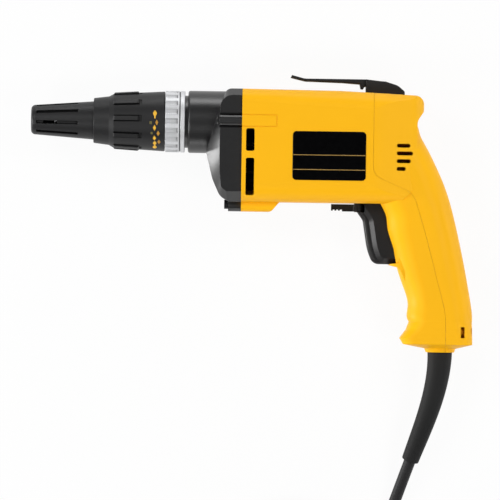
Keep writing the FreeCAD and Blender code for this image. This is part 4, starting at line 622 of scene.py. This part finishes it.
spring_coil("clutch_spring_coil")

# Floor, background and light
floor_size = 3.0
paper_glow = 0.93
floor_mesh = bpy.data.meshes.new("floor")
half = floor_size / 2
floor_corners = [(-half, -half, 0), (half, -half, 0), (half, half, 0), (-half, half, 0)]
floor_mesh.from_pydata(floor_corners, [], [(0, 1, 2, 3)])
floor = bpy.data.objects.new("floor", floor_mesh)
bpy.context.scene.collection.objects.link(floor)


def seen_ray(tree):
    """One for rays from the camera, and for mirror and glass rays."""
    path = add(tree, "ShaderNodeLightPath", {}).outputs
    direct = {0: path["Is Camera Ray"], 1: path["Is Glossy Ray"]}
    first = add(tree, "ShaderNodeMath", {"operation": "MAXIMUM"}, direct)
    both = {0: first.outputs[0], 1: path["Is Transmission Ray"]}
    return add(tree, "ShaderNodeMath", {"operation": "MAXIMUM"}, both).outputs[0]


def floor_paper():
    """White paper: seen directly it is mostly white light, with a share that keeps the shadow."""
    material = bpy.data.materials.new("studio_paper")
    material.use_nodes = True
    tree = material.node_tree
    tree.nodes.clear()
    paper = add(tree, "ShaderNodeBsdfDiffuse", {"Color": linear("F2F2F2")})
    white = add(tree, "ShaderNodeEmission", {"Color": linear("FFFFFF"), "Strength": 1.0})
    share = add(tree, "ShaderNodeMath", {"operation": "MULTIPLY", 1: paper_glow}, {0: seen_ray(tree)})
    links = {0: share.outputs[0], 1: paper.outputs[0], 2: white.outputs[0]}
    mixed = add(tree, "ShaderNodeMixShader", {}, links)
    add(tree, "ShaderNodeOutputMaterial", {}, {"Surface": mixed.outputs[0]})
    return material


floor_mesh.materials.append(floor_paper())

# White tent: bright at the horizon, softer above, with the dark gap that the camera looks through
tent_shades = [
    (0.0, 0.85),
    (0.12, 0.72),
    (0.25, 0.3),
    (0.5, 0.12),
    (0.75, 0.15),
    (0.9, 0.35),
    (0.97, 0.1),
    (1.0, 0.015),
]
world = bpy.data.worlds.new("studio")
world.use_nodes = True
sky = world.node_tree
sky.nodes.clear()
direction = add(sky, "ShaderNodeTexCoord", {}).outputs["Generated"]
height = add(sky, "ShaderNodeSeparateXYZ", {}, {0: direction}).outputs["Z"]
ramp = add(sky, "ShaderNodeValToRGB", {}, {"Fac": height})
for stop, _ in tent_shades[1:-1]:
    ramp.color_ramp.elements.new(stop)
for element, (stop, shade) in zip(ramp.color_ramp.elements, tent_shades):
    element.position = stop
    element.color = (shade, shade, shade, 1.0)
backdrop = add(sky, "ShaderNodeBackground", {"Strength": 1.0}, {"Color": ramp.outputs[0]})
add(sky, "ShaderNodeOutputWorld", {}, {"Surface": backdrop.outputs[0]})
bpy.context.scene.world = world

# Soft boxes round the tool, four high and four low: place in metres, size, power
soft_boxes = [
    ((-0.8, 0.55, 1.4), 0.6, 6.2),
    ((0.72, 0.55, 1.4), 0.6, 5.8),
    ((-0.8, -0.62, 1.4), 0.6, 5.8),
    ((0.72, -0.62, 1.4), 0.6, 5.6),
    ((-1.6, -0.2, 0.16), 0.5, 19.0),
    ((1.6, -0.1, 0.2), 0.6, 5.0),
    ((-0.1, 1.6, 0.2), 0.6, 7.0),
    ((0.1, -1.7, 0.2), 0.6, 3.0),
]
for i, (spot, size, power) in enumerate(soft_boxes):
    lamp = bpy.data.lights.new("soft_box_%d" % i, "AREA")
    lamp.size = size
    lamp.energy = power
    box = bpy.data.objects.new(lamp.name, lamp)
    box.location = spot
    box.rotation_euler = (camera_aim - Vector(spot)).to_track_quat("-Z", "Y").to_euler()
    bpy.context.scene.collection.objects.link(box)

bpy.context.scene.view_settings.view_transform = "Standard"
